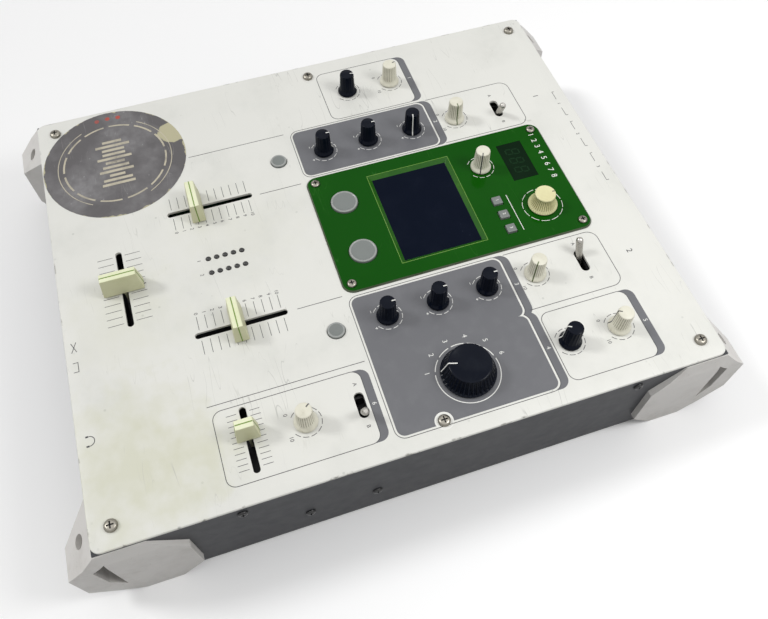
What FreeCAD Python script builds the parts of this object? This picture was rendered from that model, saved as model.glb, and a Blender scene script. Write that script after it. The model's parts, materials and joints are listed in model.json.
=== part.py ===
import FreeCAD, Part
import os
import re
import Sketcher

# Two-channel DJ mixer. +X is the mixer's right, +Y its rear, +Z up.
# The origin lies on the table, under the middle of the case. Millimetres and degrees.

SIZES = {
    # painted top plate and folded sheet case
    "plate_width": 280.0,
    "plate_depth": 332.6,
    "plate_top": 67.5,
    "plate_gauge": 1.5,
    "plate_corner": 5.0,
    "wall_gauge": 1.5,
    "base_height": 2.0,
    "tab_length": 24.0,
    "tab_reach": 20.0,
    "screw_inset": 11.0,
    "middle_screw_y": 10.0,
    # corner guards, which are also the feet
    "guard_side": 3.5,
    "guard_lip": 0.6,
    "guard_swell": 2.8,
    "guard_lean": 9.3,
    "guard_cheek": 1.9,
    "guard_nose": 17.7,
    "guard_inner": 30.0,
    "guard_taper": 15.0,
    "guard_drop": 1.0,
    "guard_bevel": 19.3,
    "guard_nose_foot": 17.5,
    "guard_toe_rise": 7.5,
    "guard_toe": 5.2,
    "guard_heel": 7.8,
    "guard_foot": 26.8,
    "guard_wing": 40.8,
    "guard_wing_rise": 14.0,
    "guard_wing_drop": 18.7,
    "guard_shoulder": 24.3,
    "guard_hole_radius": 3.7,
    "guard_hole_depth": 8.0,
    "guard_hole_inset": 12.0,
    "guard_hole_share": 0.42,
    "guard_slot_depth": 8.0,
    "guard_slot_back": 2.2,
    "guard_slot_front": 5.3,
    "guard_slot_low": 4.2,
    "guard_slot_drop": 8.4,
    "guard_slot_slope": 7.3,
    "guard_slot_length": 21.8,
    "guard_slot_foot": 17.7,
    # control grid on the top plate
    "row_start": 2.3,
    "row_pitch": 29.0,
    "channel_x": 62.7,
    "outer_inset": 32.2,
    "pad_x": 18.5,
    "hole_clearance": 0.6,
    # circuit board that carries the controls
    "board_drop": 16.0,
    "board_gauge": 1.6,
    "board_inset": 7.0,
    "post_radius": 3.5,
    "post_inset": 33.5,
    "post_y": 118.0,
    # effects panel, touch pad and display
    "panel_width": 86.0,
    "panel_depth": 152.0,
    "panel_gauge": 1.2,
    "panel_corner": 6.5,
    "panel_screw_x": 37.5,
    "panel_screw_y": 70.5,
    "touch_y": 46.9,
    "touch_width": 61.6,
    "touch_depth": 47.0,
    "touch_gauge": 2.0,
    "touch_margin": 2.0,
    "bezel_drop": 0.8,
    "bezel_slope": 2.2,
    "bezel_lip": 3.0,
    "window_x": -16.7,
    "window_y": 112.7,
    "window_width": 29.1,
    "window_depth": 15.9,
    "window_gauge": 0.7,
    "seat_clearance": 0.3,
    # potentiometers and their knobs
    "shaft_radius": 3.0,
    "running_clearance": 0.06,
    "pot_width": 11.0,
    "pot_height": 7.0,
    "pot_floor": 2.0,
    "bushing_radius": 4.5,
    "bushing_gap": 1.0,
    "knob_gap": 0.5,
    "knob_height": 14.5,
    "knob_skirt_radius": 6.2,
    "knob_skirt_edge": 1.0,
    "knob_skirt_height": 4.6,
    "knob_waist_radius": 4.9,
    "knob_top_radius": 4.3,
    "knob_edge": 0.6,
    "dial_height": 11.0,
    "dial_skirt_radius": 14.8,
    "dial_skirt_edge": 1.0,
    "dial_waist_radius": 12.9,
    "dial_top_radius": 11.2,
    "dial_edge": 0.7,
    "program_x": 19.8,
    "program_y": 113.2,
    "program_height": 10.0,
    "program_skirt_radius": 8.7,
    "program_skirt_edge": 0.8,
    "program_waist_radius": 6.0,
    "program_waist_height": 6.5,
    "program_edge": 0.4,
    # faders
    "slot_width": 3.6,
    "crossfader_y": -130.6,
    "fader_x": 42.6,
    "fader_y": -73.8,
    "slot_room": 1.0,
    "long_travel": 45.0,
    "short_travel": 30.0,
    "fader_rest_left": -8.1,
    "fader_rest_right": -1.8,
    "cue_rest": -3.0,
    "unit_width": 9.0,
    "unit_height": 11.0,
    "unit_floor": 2.0,
    "unit_wall": 3.0,
    "carriage_length": 10.0,
    "carriage_width": 5.0,
    "carriage_height": 6.0,
    "slide_clearance": 0.1,
    "stem_length": 4.0,
    "stem_gauge": 1.4,
    "cap_gap": 1.0,
    "cap_height": 13.0,
    "cap_base": 8.0,
    "cap_top": 5.2,
    "cap_span": 22.4,
    "cue_cap_span": 12.2,
    "cap_end_slope": 1.5,
    # toggle switches
    "toggle_lean": 22.0,
    "toggle_radius": 2.1,
    "toggle_reach": 12.5,
    "toggle_pivot_drop": 8.0,
    "toggle_ball_radius": 2.3,
    "toggle_slot_length": 14.5,
    "toggle_slot_width": 5.2,
    "toggle_body_length": 14.0,
    "toggle_body_width": 9.0,
    "toggle_body_gap": 2.5,
    "toggle_cavity_length": 11.0,
    # push buttons and their key switches
    "round_radius": 4.8,
    "effect_radius": 8.0,
    "memory_size": 5.6,
    "memory_inset": 12.6,
    "memory_pitch": 10.6,
    "memory_y": 88.5,
    "button_rise": 1.4,
    "button_travel": 1.0,
    "button_clearance": 0.35,
    "button_flange": 1.0,
    "button_flange_gauge": 1.2,
    "button_stem_radius": 1.8,
    "key_size": 6.0,
    "key_height": 4.5,
    "key_floor": 0.8,
    # level lamps
    "lamp_radius": 1.5,
    "lamp_column_x": 4.9,
    "lamp_first_y": -82.5,
    "lamp_pitch": 4.85,
    # fasteners
    "screw_radius": 1.5,
    "screw_clearance": 0.15,
    "screw_length": 6.0,
    "screw_head_radius": 3.3,
    "screw_head_height": 2.2,
    "screw_dome": 1.0,
    "screw_drive_radius": 1.1,
    "screw_drive_depth": 1.2,
    "pad_screw_head_radius": 2.7,
    "pad_screw_head_height": 1.5,
    "side_screw_length": 4.0,
    "side_screw_drop": 6.0,
    "side_screw_front": 69.7,
    "side_screw_rear": 51.4,
    "low_screw_drop": 39.0,
    "low_screw_front": 65.8,
    "low_screw_rear": 29.0,
    # rear sockets and front socket
    "socket_drop": 16.0,
    "rca_pitch": 18.0,
    "rca_radius": 4.15,
    "rca_flange_radius": 5.4,
    "rca_flange": 1.5,
    "rca_length": 9.0,
    "rca_bore_radius": 1.65,
    "rca_body": 11.0,
    "rca_body_depth": 14.0,
    "rca_offset": 25.0,
    "rca_step": 16.0,
    "phone_radius": 7.0,
    "phone_nut": 3.0,
    "phone_bore_radius": 3.25,
    "phone_body": 13.0,
    "phone_body_depth": 26.0,
    "mic_offset": 23.0,
    "headphone_x": 81.6,
    "front_socket_drop": 18.4,
    "inlet_offset": 26.0,
    "inlet_radius": 5.0,
    "inlet_nut": 1.6,
    "inlet_bore_radius": 3.0,
    "inlet_pin_radius": 1.0,
    "inlet_depth": 11.0,
    "inlet_body": 11.0,
    "ground_inset": 7.0,
    "ground_radius": 4.5,
    "ground_length": 9.0,
    "ground_stud_radius": 2.0,
    # power button at the rear and fader-curve switch at the front
    "power_inset": 6.0,
    "power_radius": 4.0,
    "power_rise": 5.0,
    "power_travel": 3.0,
    "power_stem_radius": 2.0,
    "power_body": 10.0,
    "power_body_depth": 14.0,
    "curve_x": 34.0,
    "curve_room": 1.0,
    "curve_lever_width": 3.0,
    "curve_lever_height": 2.6,
    "curve_rise": 2.5,
    "curve_travel": 5.0,
    "curve_wall": 4.0,
    "curve_body_height": 8.0,
    "curve_body_depth": 7.0,
    "curve_cavity_depth": 3.0,
}

doc = FreeCAD.newDocument("dj_mixer")
sheet = doc.addObject("Spreadsheet::Sheet", "sizes")
for line, (alias, value) in enumerate(SIZES.items(), start=1):
    sheet.set(f"A{line}", alias)
    sheet.set(f"B{line}", str(value))
    sheet.setAlias(f"B{line}", alias)
doc.recompute()

X_AXIS = FreeCAD.Vector(1, 0, 0)
Y_AXIS = FreeCAD.Vector(0, 1, 0)
Z_AXIS = FreeCAD.Vector(0, 0, 1)
UPRIGHT = FreeCAD.Rotation()
TO_REAR = FreeCAD.Rotation(X_AXIS, -90)
TO_FRONT = FreeCAD.Rotation(X_AXIS, 90)
TO_RIGHT = FreeCAD.Rotation(Y_AXIS, 90)
TO_LEFT = FreeCAD.Rotation(Y_AXIS, -90)
QUARTER_TURN = FreeCAD.Rotation(Z_AXIS, 90)
SLANTED = FreeCAD.Rotation(X_AXIS, -45)

# Heights and faces that several pieces share
PLATE_UNDER = "(plate_top - plate_gauge)"
PANEL_TOP = "(plate_top + panel_gauge)"
BOARD_TOP = "(plate_top - plate_gauge - board_drop)"
BASE_TOP = "(base_height + wall_gauge)"
SIDE_FACE = "(plate_width / 2)"
END_FACE = "(plate_depth / 2)"
SIDE_INSIDE = "(plate_width / 2 - wall_gauge)"
END_INSIDE = "(plate_depth / 2 - wall_gauge)"
PANEL_Y = "(row_start + 2 * row_pitch)"
TOUCH_TOP = "(plate_top - bezel_drop)"
GUARD_TOP = "(plate_top - plate_gauge - guard_drop)"
REAR_SOCKET_Z = "(plate_top - plate_gauge - board_drop - board_gauge - socket_drop)"
FRONT_SOCKET_Z = "(plate_top - plate_gauge - board_drop - board_gauge - front_socket_drop)"
CURVE_SLOT = "(curve_lever_width + curve_travel + 2 * curve_room)"
OUTER_X = "(plate_width / 2 - outer_inset)"
POWER_X = "(plate_width / 2 - guard_inner - power_inset)"
INLET_X = "(plate_width / 2 - guard_inner - power_inset - inlet_offset)"
GROUND_X = "(guard_inner + ground_inset - plate_width / 2)"
MIC_X = "(guard_inner + ground_inset + mic_offset - plate_width / 2)"
PHONO_X = "(guard_inner + ground_inset + mic_offset + rca_offset - plate_width / 2)"
SLANT = 0.5 ** 0.5
LAMPS_PER_COLUMN = 5
PHONO_COLUMNS = 6
MEMORY_BUTTONS = 3
nodes = {}


def row(index):
    """Return the depth of one row of the control grid."""
    return f"(row_start + ({index}) * row_pitch)"


def cell(expression):
    """Point every size named in an expression at the sheet."""
    return re.sub(r"[a-z]\w+", lambda word: "sizes." + word.group(), str(expression))


def measure(expression):
    """Return the present value of an expression."""
    return float(sheet.evalExpression(cell(expression)))


def bind(item, **sizes):
    """Bind an object's properties to expressions on the sheet."""
    for name, expression in sizes.items():
        item.setExpression(name, cell(expression))
    return item


def place(item, x, y, z, turn=UPRIGHT):
    """Turn an object, then bind its place to expressions."""
    item.Placement = FreeCAD.Placement(FreeCAD.Vector(), turn)
    for axis, expression in zip("xyz", (x, y, z)):
        item.setExpression(f"Placement.Base.{axis}", cell(expression))
    return item


def block(length, width, height, x, y, z):
    """Make a box centred on x and y, standing on z."""
    item = doc.addObject("Part::Box", "Block")
    bind(item, Length=length, Width=width, Height=height)
    return place(item, f"{x} - ({length}) / 2", f"{y} - ({width}) / 2", z)


def rod(radius, height, x, y, z, turn=UPRIGHT):
    """Make a cylinder whose first end is centred on a point."""
    item = doc.addObject("Part::Cylinder", "Rod")
    bind(item, Radius=radius, Height=height)
    return place(item, x, y, z, turn)


def taper(base, top, height, x, y, z):
    """Make a block that narrows from a base rectangle to a top rectangle."""
    item = doc.addObject("Part::Wedge", "Taper")
    bind(item, Xmin=f"-({base[0]}) / 2", Xmax=f"({base[0]}) / 2", Zmin=f"-({base[1]}) / 2")
    bind(item, Zmax=f"({base[1]}) / 2", X2min=f"-({top[0]}) / 2", X2max=f"({top[0]}) / 2")
    bind(item, Z2min=f"-({top[1]}) / 2", Z2max=f"({top[1]}) / 2", Ymin="0", Ymax=height)
    return place(item, x, y, z, TO_FRONT)


def gather(*items):
    """Hold several solids together without joining them."""
    item = doc.addObject("Part::Compound", "Group")
    item.Links = list(items)
    return item


def join(*items):
    """Fuse touching solids into one."""
    item = doc.addObject("Part::MultiFuse", "Join")
    item.Shapes = list(items)
    item.Refine = True
    return item


def cut(base, *tools):
    """Cut tools out of a solid."""
    item = doc.addObject("Part::Cut", "Cut")
    item.Base = base
    item.Tool = tools[0] if len(tools) == 1 else gather(*tools)
    item.Refine = True
    return item


def slot(length, width, height, x, y, z, along_y=False):
    """Make a round-ended slot cutter."""
    reach = f"(({length}) - ({width})) / 2"
    middle = block(f"({length}) - ({width})", width, height, "0", "0", "0")
    ends = [rod(f"({width}) / 2", height, f"{sign}({reach})", "0", "0") for sign in ("-", "")]
    return place(join(middle, *ends), x, y, z, QUARTER_TURN if along_y else UPRIGHT)


def mirrored(source, normal):
    """Mirror a finished solid through the middle of the mixer."""
    item = doc.addObject("Part::Mirroring", "Mirrored")
    item.Source = source
    item.Normal = normal
    return item


def outline(body, plane_role, points):
    """Draw a closed outline whose corners are bound to the sheet."""
    sketch = body.newObject("Sketcher::SketchObject", "Outline")
    plane = next(item for item in body.Origin.OriginFeatures if item.Role == plane_role)
    sketch.AttachmentSupport = [(plane, "")]
    sketch.MapMode = "FlatFace"
    corners = [FreeCAD.Vector(measure(x), measure(y), 0) for x, y in points]
    for start, end in zip(corners, corners[1:] + corners[:1]):
        sketch.addGeometry(Part.LineSegment(start, end), False)
    for index in range(len(points)):
        following = (index + 1) % len(points)
        sketch.addConstraint(Sketcher.Constraint("Coincident", index, 2, following, 1))
    for index, (x, y) in enumerate(points):
        for kind, expression, axis in (("DistanceX", x, -2), ("DistanceY", y, -1)):
            if expression == "0":
                sketch.addConstraint(Sketcher.Constraint("PointOnObject", index, 1, axis))
                continue
            datum = Sketcher.Constraint(kind, -1, 1, index, 1, measure(expression))
            number = sketch.addConstraint(datum)
            sketch.setExpression(f"Constraints[{number}]", cell(expression))
    return sketch


def turned(points):
    """Turn a half outline of radius and height about its own upright axis."""
    body = doc.addObject("PartDesign::Body", "Turned")
    feature = body.newObject("PartDesign::Revolution", "Revolution")
    feature.Profile = outline(body, "XZ_Plane", points)
    feature.ReferenceAxis = (feature.Profile[0], ["V_Axis"])
    feature.Angle = 360
    return body


def extruded(plane_role, points, length):
    """Pad an outline square to its plane."""
    body = doc.addObject("PartDesign::Body", "Extruded")
    sketch = outline(body, plane_role, points)
    feature = body.newObject("PartDesign::Pad", "Pad")
    feature.Profile = sketch
    return body, bind(feature, Length=length)


def rounded_sheet(width, depth, gauge, corner):
    """Pad a rectangle and round its four upright edges."""
    points = [("0", "0"), (width, "0"), (width, depth), ("0", depth)]
    body, pad = extruded("XY_Plane", points, gauge)
    doc.recompute()
    upright = []
    for number, edge in enumerate(pad.Shape.Edges, start=1):
        if edge.BoundBox.ZLength > measure(gauge) / 2:
            upright.append(f"Edge{number}")
    rounding = body.newObject("PartDesign::Fillet", "Rounding")
    rounding.Base = (pad, upright)
    bind(rounding, Radius=corner)
    return body


def node(name, item):
    """Name a finished sub-part."""
    item.Label = name
    nodes[name] = item
    return item


# Where the controls stand: name, x, y, kind and the surface under them
KNOBS = [
    ("knob_mic_balance", f"-{OUTER_X}", row(1), "small", "plate_top"),
    ("knob_mic_level", f"-{OUTER_X}", row(2), "small", "plate_top"),
    ("knob_effect_depth", "-pad_x", row(3), "small", PANEL_TOP),
    ("knob_program", "program_x", "program_y", "program", PANEL_TOP),
    ("knob_eq_type", OUTER_X, row(1), "dial", "plate_top"),
    ("knob_pan", OUTER_X, row(3), "small", "plate_top"),
    ("knob_master_level", OUTER_X, row(4), "small", "plate_top"),
    ("knob_monitor_level", OUTER_X, row(-2), "small", "plate_top"),
]
for channel, x in (("1", "-channel_x"), ("2", "channel_x")):
    for step, band in enumerate(("low", "mid", "high", "trim")):
        KNOBS.append((f"knob_{band}_{channel}", x, row(step), "small", "plate_top"))

# Faders: name, x, y, travel, place of the cap along it at rest, length of the cap and direction
FADERS = [
    ("crossfader", "0", "crossfader_y", "long_travel", "0", "cap_span", False),
    ("fader_1", "-fader_x", "fader_y", "long_travel", "fader_rest_left", "cap_span", True),
    ("fader_2", "fader_x", "fader_y", "long_travel", "fader_rest_right", "cap_span", True),
    ("cue_fader", OUTER_X, row(-3), "short_travel", "cue_rest", "cue_cap_span", False),
]

TOGGLES = [
    ("toggle_input_1", "-channel_x", row(4), "toggle_lean"),
    ("toggle_input_2", "channel_x", row(4), "-toggle_lean"),
    ("toggle_monitor", OUTER_X, row(-1), "toggle_lean"),
]

BUTTONS = [
    ("button_monitor_1", "-channel_x", row(-1), "round_radius", "plate_top"),
    ("button_monitor_2", "channel_x", row(-1), "round_radius", "plate_top"),
    ("button_hold", "-pad_x", row(0), "effect_radius", PANEL_TOP),
    ("button_tap", "pad_x", row(0), "effect_radius", PANEL_TOP),
]
for index in range(MEMORY_BUTTONS):
    x = f"(panel_width / 2 - memory_inset - {MEMORY_BUTTONS - 1 - index} * memory_pitch)"
    BUTTONS.append((f"button_memory_{index + 1}", x, "memory_y", "square", PANEL_TOP))

# Rows of plate screws: the screw's y and the y of the tab under it
SCREW_X = f"({SIDE_FACE} - screw_inset)"
SCREW_ROWS = [
    (f"-({END_FACE} - screw_inset)", f"-({END_INSIDE} - tab_length / 2)"),
    ("middle_screw_y", "middle_screw_y"),
    (f"({END_FACE} - screw_inset)", f"({END_INSIDE} - tab_length / 2)"),
]
PLATE_SCREWS = [(f"{side}{SCREW_X}", y) for side in ("-", "") for y, _ in SCREW_ROWS]

PAD_SCREWS = []
for x in ("-panel_screw_x", "panel_screw_x"):
    for y in (f"({PANEL_Y} - panel_screw_y)", f"({PANEL_Y} + panel_screw_y)"):
        PAD_SCREWS.append((x, y))

SHAFT_HOLE = "shaft_radius + hole_clearance"
SCREW_HOLE = "screw_radius + screw_clearance"
BEZEL_WIDTH = "(touch_width + 2 * bezel_slope + 2 * bezel_lip)"
BEZEL_DEPTH = "(touch_depth + 2 * bezel_slope + 2 * bezel_lip)"


def button_hole(kind, height, x, y, z):
    """Make the cutter for one button's hole."""
    if kind == "square":
        side = "memory_size + 2 * button_clearance"
        return block(side, side, height, x, y, z)
    return rod(f"{kind} + button_clearance", height, x, y, z)


def top_plate():
    """Painted sheet with a hole or slot for every control."""
    deep = "plate_gauge"
    tools = [rod(SHAFT_HOLE, deep, x, y, PLATE_UNDER) for _, x, y, _, _ in KNOBS]
    for _, x, y, travel, _, _, along_y in FADERS:
        length = f"({travel} + stem_length + 2 * slot_room)"
        tools.append(slot(length, "slot_width", deep, x, y, PLATE_UNDER, along_y))
    for _, x, y, _ in TOGGLES:
        tools.append(slot("toggle_slot_length", "toggle_slot_width", deep, x, y, PLATE_UNDER))
    tools += [button_hole(kind, deep, x, y, PLATE_UNDER) for _, x, y, kind, _ in BUTTONS]
    tools += [rod(SCREW_HOLE, deep, x, y, PLATE_UNDER) for x, y in PLATE_SCREWS + PAD_SCREWS]
    for x, y in lamp_places():
        tools.append(rod("lamp_radius + slide_clearance", deep, x, y, PLATE_UNDER))
    width = f"{BEZEL_WIDTH} + 2 * seat_clearance"
    depth = f"{BEZEL_DEPTH} + 2 * seat_clearance"
    tools.append(block(width, depth, deep, "0", "touch_y", PLATE_UNDER))
    sheet_metal = rounded_sheet("plate_width", "plate_depth", "plate_gauge", "plate_corner")
    place(sheet_metal, f"-{SIDE_FACE}", f"-{END_FACE}", PLATE_UNDER)
    node("top_plate", cut(sheet_metal, *tools))


def lamp_places():
    """Return the places of the two columns of level lamps."""
    places = []
    for x in ("-lamp_column_x", "lamp_column_x"):
        for index in range(LAMPS_PER_COLUMN):
            places.append((x, f"(lamp_first_y + {index} * lamp_pitch)"))
    return places


def side_panel(name, side, facing):
    """Folded side wall with three tabs under the plate."""
    tall = f"{PLATE_UNDER} - base_height"
    low = f"{PLATE_UNDER} - wall_gauge"
    wall_x = f"{side}({SIDE_FACE} - wall_gauge / 2)"
    tab_x = f"{side}({SIDE_INSIDE} - tab_reach / 2)"
    pieces = [block("wall_gauge", "plate_depth", tall, wall_x, "0", "base_height")]
    holes = []
    for screw_y, tab_y in SCREW_ROWS:
        pieces.append(block("tab_reach", "tab_length", "wall_gauge", tab_x, tab_y, low))
        holes.append(rod(SCREW_HOLE, "wall_gauge", f"{side}{SCREW_X}", screw_y, low))
    for y, z in side_screw_places():
        holes.append(rod(SCREW_HOLE, "wall_gauge", f"{side}{SIDE_INSIDE}", y, z, facing))
    node(name, cut(join(*pieces), *holes))


def side_screw_places():
    """Return depth and height of the screws in one side wall."""
    high = f"({PLATE_UNDER} - side_screw_drop)"
    low = f"({PLATE_UNDER} - low_screw_drop)"
    front = f"-({END_FACE} - side_screw_front)"
    rear = f"({END_FACE} - side_screw_rear)"
    return [(front, high), (rear, high), ("-low_screw_front", low), ("-low_screw_rear", low)]


def front_and_rear_panels():
    """End walls with an opening for each socket, button and switch."""
    tall = f"{PLATE_UNDER} - base_height"
    middle = f"({END_FACE} - wall_gauge / 2)"
    front = block(f"2 * {SIDE_INSIDE}", "wall_gauge", tall, "0", f"-{middle}", "base_height")
    neck = "phone_bore_radius + hole_clearance"
    jack_hole = rod(neck, "wall_gauge", "headphone_x", f"-{END_INSIDE}", FRONT_SOCKET_Z, TO_FRONT)
    high = "(curve_lever_height + 2 * hole_clearance)"
    low = f"{FRONT_SOCKET_Z} - {high} / 2"
    curve_hole = block(CURVE_SLOT, "wall_gauge", high, "curve_x", f"-{middle}", low)
    node("front_panel", cut(front, jack_hole, curve_hole))
    rear = block(f"2 * {SIDE_INSIDE}", "wall_gauge", tall, "0", middle, "base_height")
    openings = [rod("rca_radius", "wall_gauge", x, END_INSIDE, z, TO_REAR) for x, z in rca_places()]
    round_holes = {
        MIC_X: neck,
        INLET_X: "inlet_bore_radius + hole_clearance",
        GROUND_X: "ground_stud_radius",
        POWER_X: "power_radius + button_clearance",
    }
    for x, radius in round_holes.items():
        openings.append(rod(radius, "wall_gauge", x, END_INSIDE, REAR_SOCKET_Z, TO_REAR))
    node("rear_panel", cut(rear, *openings))


def rca_places():
    """Return x and height of the stacked phono sockets."""
    places = []
    for index in range(PHONO_COLUMNS):
        x = f"({PHONO_X} + {index} * rca_step)"
        places += [(x, f"({REAR_SOCKET_Z} {sign} rca_pitch / 2)") for sign in "-+"]
    return places


def base_sheet():
    """Flat floor of the case between the four walls."""
    width = f"2 * {SIDE_INSIDE}"
    depth = f"2 * {END_INSIDE}"
    node("base_sheet", block(width, depth, "wall_gauge", "0", "0", "base_height"))


def corner_guards():
    """Moulded guards that wrap the corners, carry the case and stand on the table."""
    nose = f"({END_FACE} + guard_nose)"
    wing = f"({END_FACE} - guard_wing)"
    profile = [
        (wing, "guard_wing_rise"),
        (f"{END_FACE} - guard_foot", "0"),
        (f"{END_FACE} - guard_heel", "0"),
        (f"{END_FACE} + guard_toe", "guard_toe_rise"),
        (nose, "guard_nose_foot"),
        (nose, f"{GUARD_TOP} - guard_bevel"),
        (END_FACE, GUARD_TOP),
        (f"{END_FACE} - guard_shoulder", GUARD_TOP),
        (wing, f"{GUARD_TOP} - guard_wing_drop"),
    ]
    blank, _ = extruded("YZ_Plane", profile, "guard_inner + guard_side")
    inner = f"({SIDE_FACE} - guard_inner)"
    place(blank, inner, "0", "0")
    case_x = f"{inner} + guard_inner / 2"
    case = block("guard_inner", END_FACE, "plate_top", case_x, f"{END_FACE} / 2", "base_height")
    plan = [(inner, END_FACE), (f"{inner} + guard_taper", nose), (inner, nose)]
    end_cut, _ = extruded("XY_Plane", plan, "plate_top")
    sunk = f"guard_hole_depth * {SLANT}"
    hole_y = f"{END_FACE} + guard_nose * guard_hole_share - {sunk}"
    hole_z = f"{GUARD_TOP} - guard_bevel * guard_hole_share - {sunk}"
    hole_x = f"{SIDE_FACE} - guard_hole_inset"
    hole = rod("guard_hole_radius", "2 * guard_hole_depth", hole_x, hole_y, hole_z, SLANTED)
    slot_low = f"{GUARD_TOP} - guard_slot_drop - guard_slot_slope"
    wedge = [
        (f"{END_FACE} - guard_slot_back", f"{GUARD_TOP} - guard_slot_drop"),
        (f"{END_FACE} + guard_slot_front", slot_low),
        (f"{END_FACE} + guard_slot_low", f"{slot_low} - guard_slot_length"),
        (f"{END_FACE} - guard_slot_back", "guard_slot_foot"),
    ]
    recess, _ = extruded("YZ_Plane", wedge, "2 * guard_slot_depth")
    place(recess, f"{SIDE_FACE} + guard_side - guard_slot_depth", "0", "0")
    lean = [
        (f"{SIDE_FACE} + guard_lip", GUARD_TOP),
        (f"{SIDE_FACE} + guard_swell", f"{GUARD_TOP} - guard_lean"),
        (f"{SIDE_FACE} + guard_side", f"{GUARD_TOP} - 2 * guard_lean"),
        (f"{SIDE_FACE} + 2 * guard_side", f"{GUARD_TOP} - 2 * guard_lean"),
        (f"{SIDE_FACE} + 2 * guard_side", "plate_top"),
        (f"{SIDE_FACE} + guard_lip", "plate_top"),
    ]
    lean_cut, _ = extruded("XZ_Plane", lean, "guard_nose + guard_wing + 2 * guard_side")
    place(lean_cut, "0", f"{nose} + guard_side", "0")
    cheek = [
        (f"{SIDE_FACE} + guard_side", f"{END_FACE} - guard_heel"),
        (f"{SIDE_FACE} + 2 * guard_side", f"{END_FACE} - guard_heel"),
        (f"{SIDE_FACE} + 2 * guard_side", nose),
        (f"{SIDE_FACE} + guard_cheek", nose),
    ]
    cheek_cut, _ = extruded("XY_Plane", cheek, "plate_top")
    rear_right = cut(blank, case, end_cut, hole, recess, lean_cut, cheek_cut)
    front_right = mirrored(rear_right, Y_AXIS)
    node("guard_rear_right", rear_right)
    node("guard_front_right", front_right)
    node("guard_rear_left", mirrored(rear_right, X_AXIS))
    node("guard_front_left", mirrored(front_right, X_AXIS))


def screw(length, head_radius, head_height):
    """Domed screw that stands on its shank, with a drive recess in the head."""
    top = f"({length} + {head_height})"
    return turned([
        ("0", "0"),
        ("screw_radius", "0"),
        ("screw_radius", length),
        (head_radius, length),
        (head_radius, f"{top} - screw_dome"),
        (f"{head_radius} - screw_dome", top),
        ("screw_drive_radius", top),
        ("screw_drive_radius", f"{top} - screw_drive_depth"),
        ("0", f"{top} - screw_drive_depth"),
    ])


def screws():
    """Plate screws, effects panel screws and the black side screws."""
    plate = []
    for x, y in PLATE_SCREWS:
        item = screw("screw_length", "screw_head_radius", "screw_head_height")
        plate.append(place(item, x, y, "plate_top - screw_length"))
    node("plate_screws", gather(*plate))
    pad = []
    for x, y in PAD_SCREWS:
        item = screw("screw_length", "pad_screw_head_radius", "pad_screw_head_height")
        pad.append(place(item, x, y, f"{PANEL_TOP} - screw_length"))
    node("pad_screws", gather(*pad))
    sides = []
    for side, turn in (("-", TO_LEFT), ("", TO_RIGHT)):
        for y, z in side_screw_places():
            item = screw("side_screw_length", "pad_screw_head_radius", "pad_screw_head_height")
            sides.append(place(item, f"{side}({SIDE_FACE} - side_screw_length)", y, z, turn))
    node("side_screws", gather(*sides))


def effects_panel():
    """Panel with a sloped bezel round the touch pad, and the pad under it."""
    plate = rounded_sheet("panel_width", "panel_depth", "panel_gauge", "panel_corner")
    place(plate, "-panel_width / 2", f"{PANEL_Y} - panel_depth / 2", "plate_top")
    lip = block(BEZEL_WIDTH, BEZEL_DEPTH, "bezel_drop", "0", "touch_y", TOUCH_TOP)
    pad_edge = ("touch_width", "touch_depth")
    rim_edge = ("touch_width + 2 * bezel_slope", "touch_depth + 2 * bezel_slope")
    opening = taper(pad_edge, rim_edge, "bezel_drop + panel_gauge", "0", "touch_y", TOUCH_TOP)
    lens_low = f"{PANEL_TOP} - window_gauge"
    seat_width = "window_width + 2 * slide_clearance"
    seat_depth = "window_depth + 2 * slide_clearance"
    lens_seat = block(seat_width, seat_depth, "window_gauge", "window_x", "window_y", lens_low)
    tools = [opening, lens_seat]
    for _, x, y, _, deck in KNOBS:
        if deck == PANEL_TOP:
            tools.append(rod(SHAFT_HOLE, "panel_gauge", x, y, "plate_top"))
    for _, x, y, kind, deck in BUTTONS:
        if deck == PANEL_TOP:
            tools.append(button_hole(kind, "panel_gauge", x, y, "plate_top"))
    tools += [rod(SCREW_HOLE, "panel_gauge", x, y, "plate_top") for x, y in PAD_SCREWS]
    node("pad_panel", cut(join(plate, lip), *tools))
    width = "touch_width + 2 * touch_margin"
    depth = "touch_depth + 2 * touch_margin"
    node("touch_pad", block(width, depth, "touch_gauge", "0", "touch_y", f"{TOUCH_TOP} - touch_gauge"))
    lens = block("window_width", "window_depth", "window_gauge", "window_x", "window_y", lens_low)
    node("display_window", lens)


def boards():
    """Control board on six posts, short of the phono sockets at the rear."""
    width = f"2 * ({SIDE_INSIDE} - board_inset)"
    depth = f"2 * ({END_INSIDE} - board_inset) - rca_body_depth"
    low = f"{BOARD_TOP} - board_gauge"
    node("main_board", block(width, depth, "board_gauge", "0", "-rca_body_depth / 2", low))
    tall = f"{low} - {BASE_TOP}"
    post_x = f"({SIDE_INSIDE} - board_inset - post_inset)"
    posts = []
    for x in (f"-{post_x}", post_x):
        posts += [rod("post_radius", tall, x, y, BASE_TOP) for y in ("-post_y", "0", "post_y")]
    node("board_posts", gather(*posts))


def potentiometers():
    """Bodies whose bushings carry the knob shafts."""
    bodies = []
    floor = f"({BOARD_TOP} + pot_floor)"
    for _, x, y, _, _ in KNOBS:
        case = block("pot_width", "pot_width", "pot_height", x, y, BOARD_TOP)
        bushing = rod("bushing_radius", "board_drop - bushing_gap", x, y, BOARD_TOP)
        bore = rod("shaft_radius + running_clearance", "board_drop", x, y, floor)
        bodies.append(cut(join(case, bushing), bore))
    node("pot_bodies", gather(*bodies))


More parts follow.
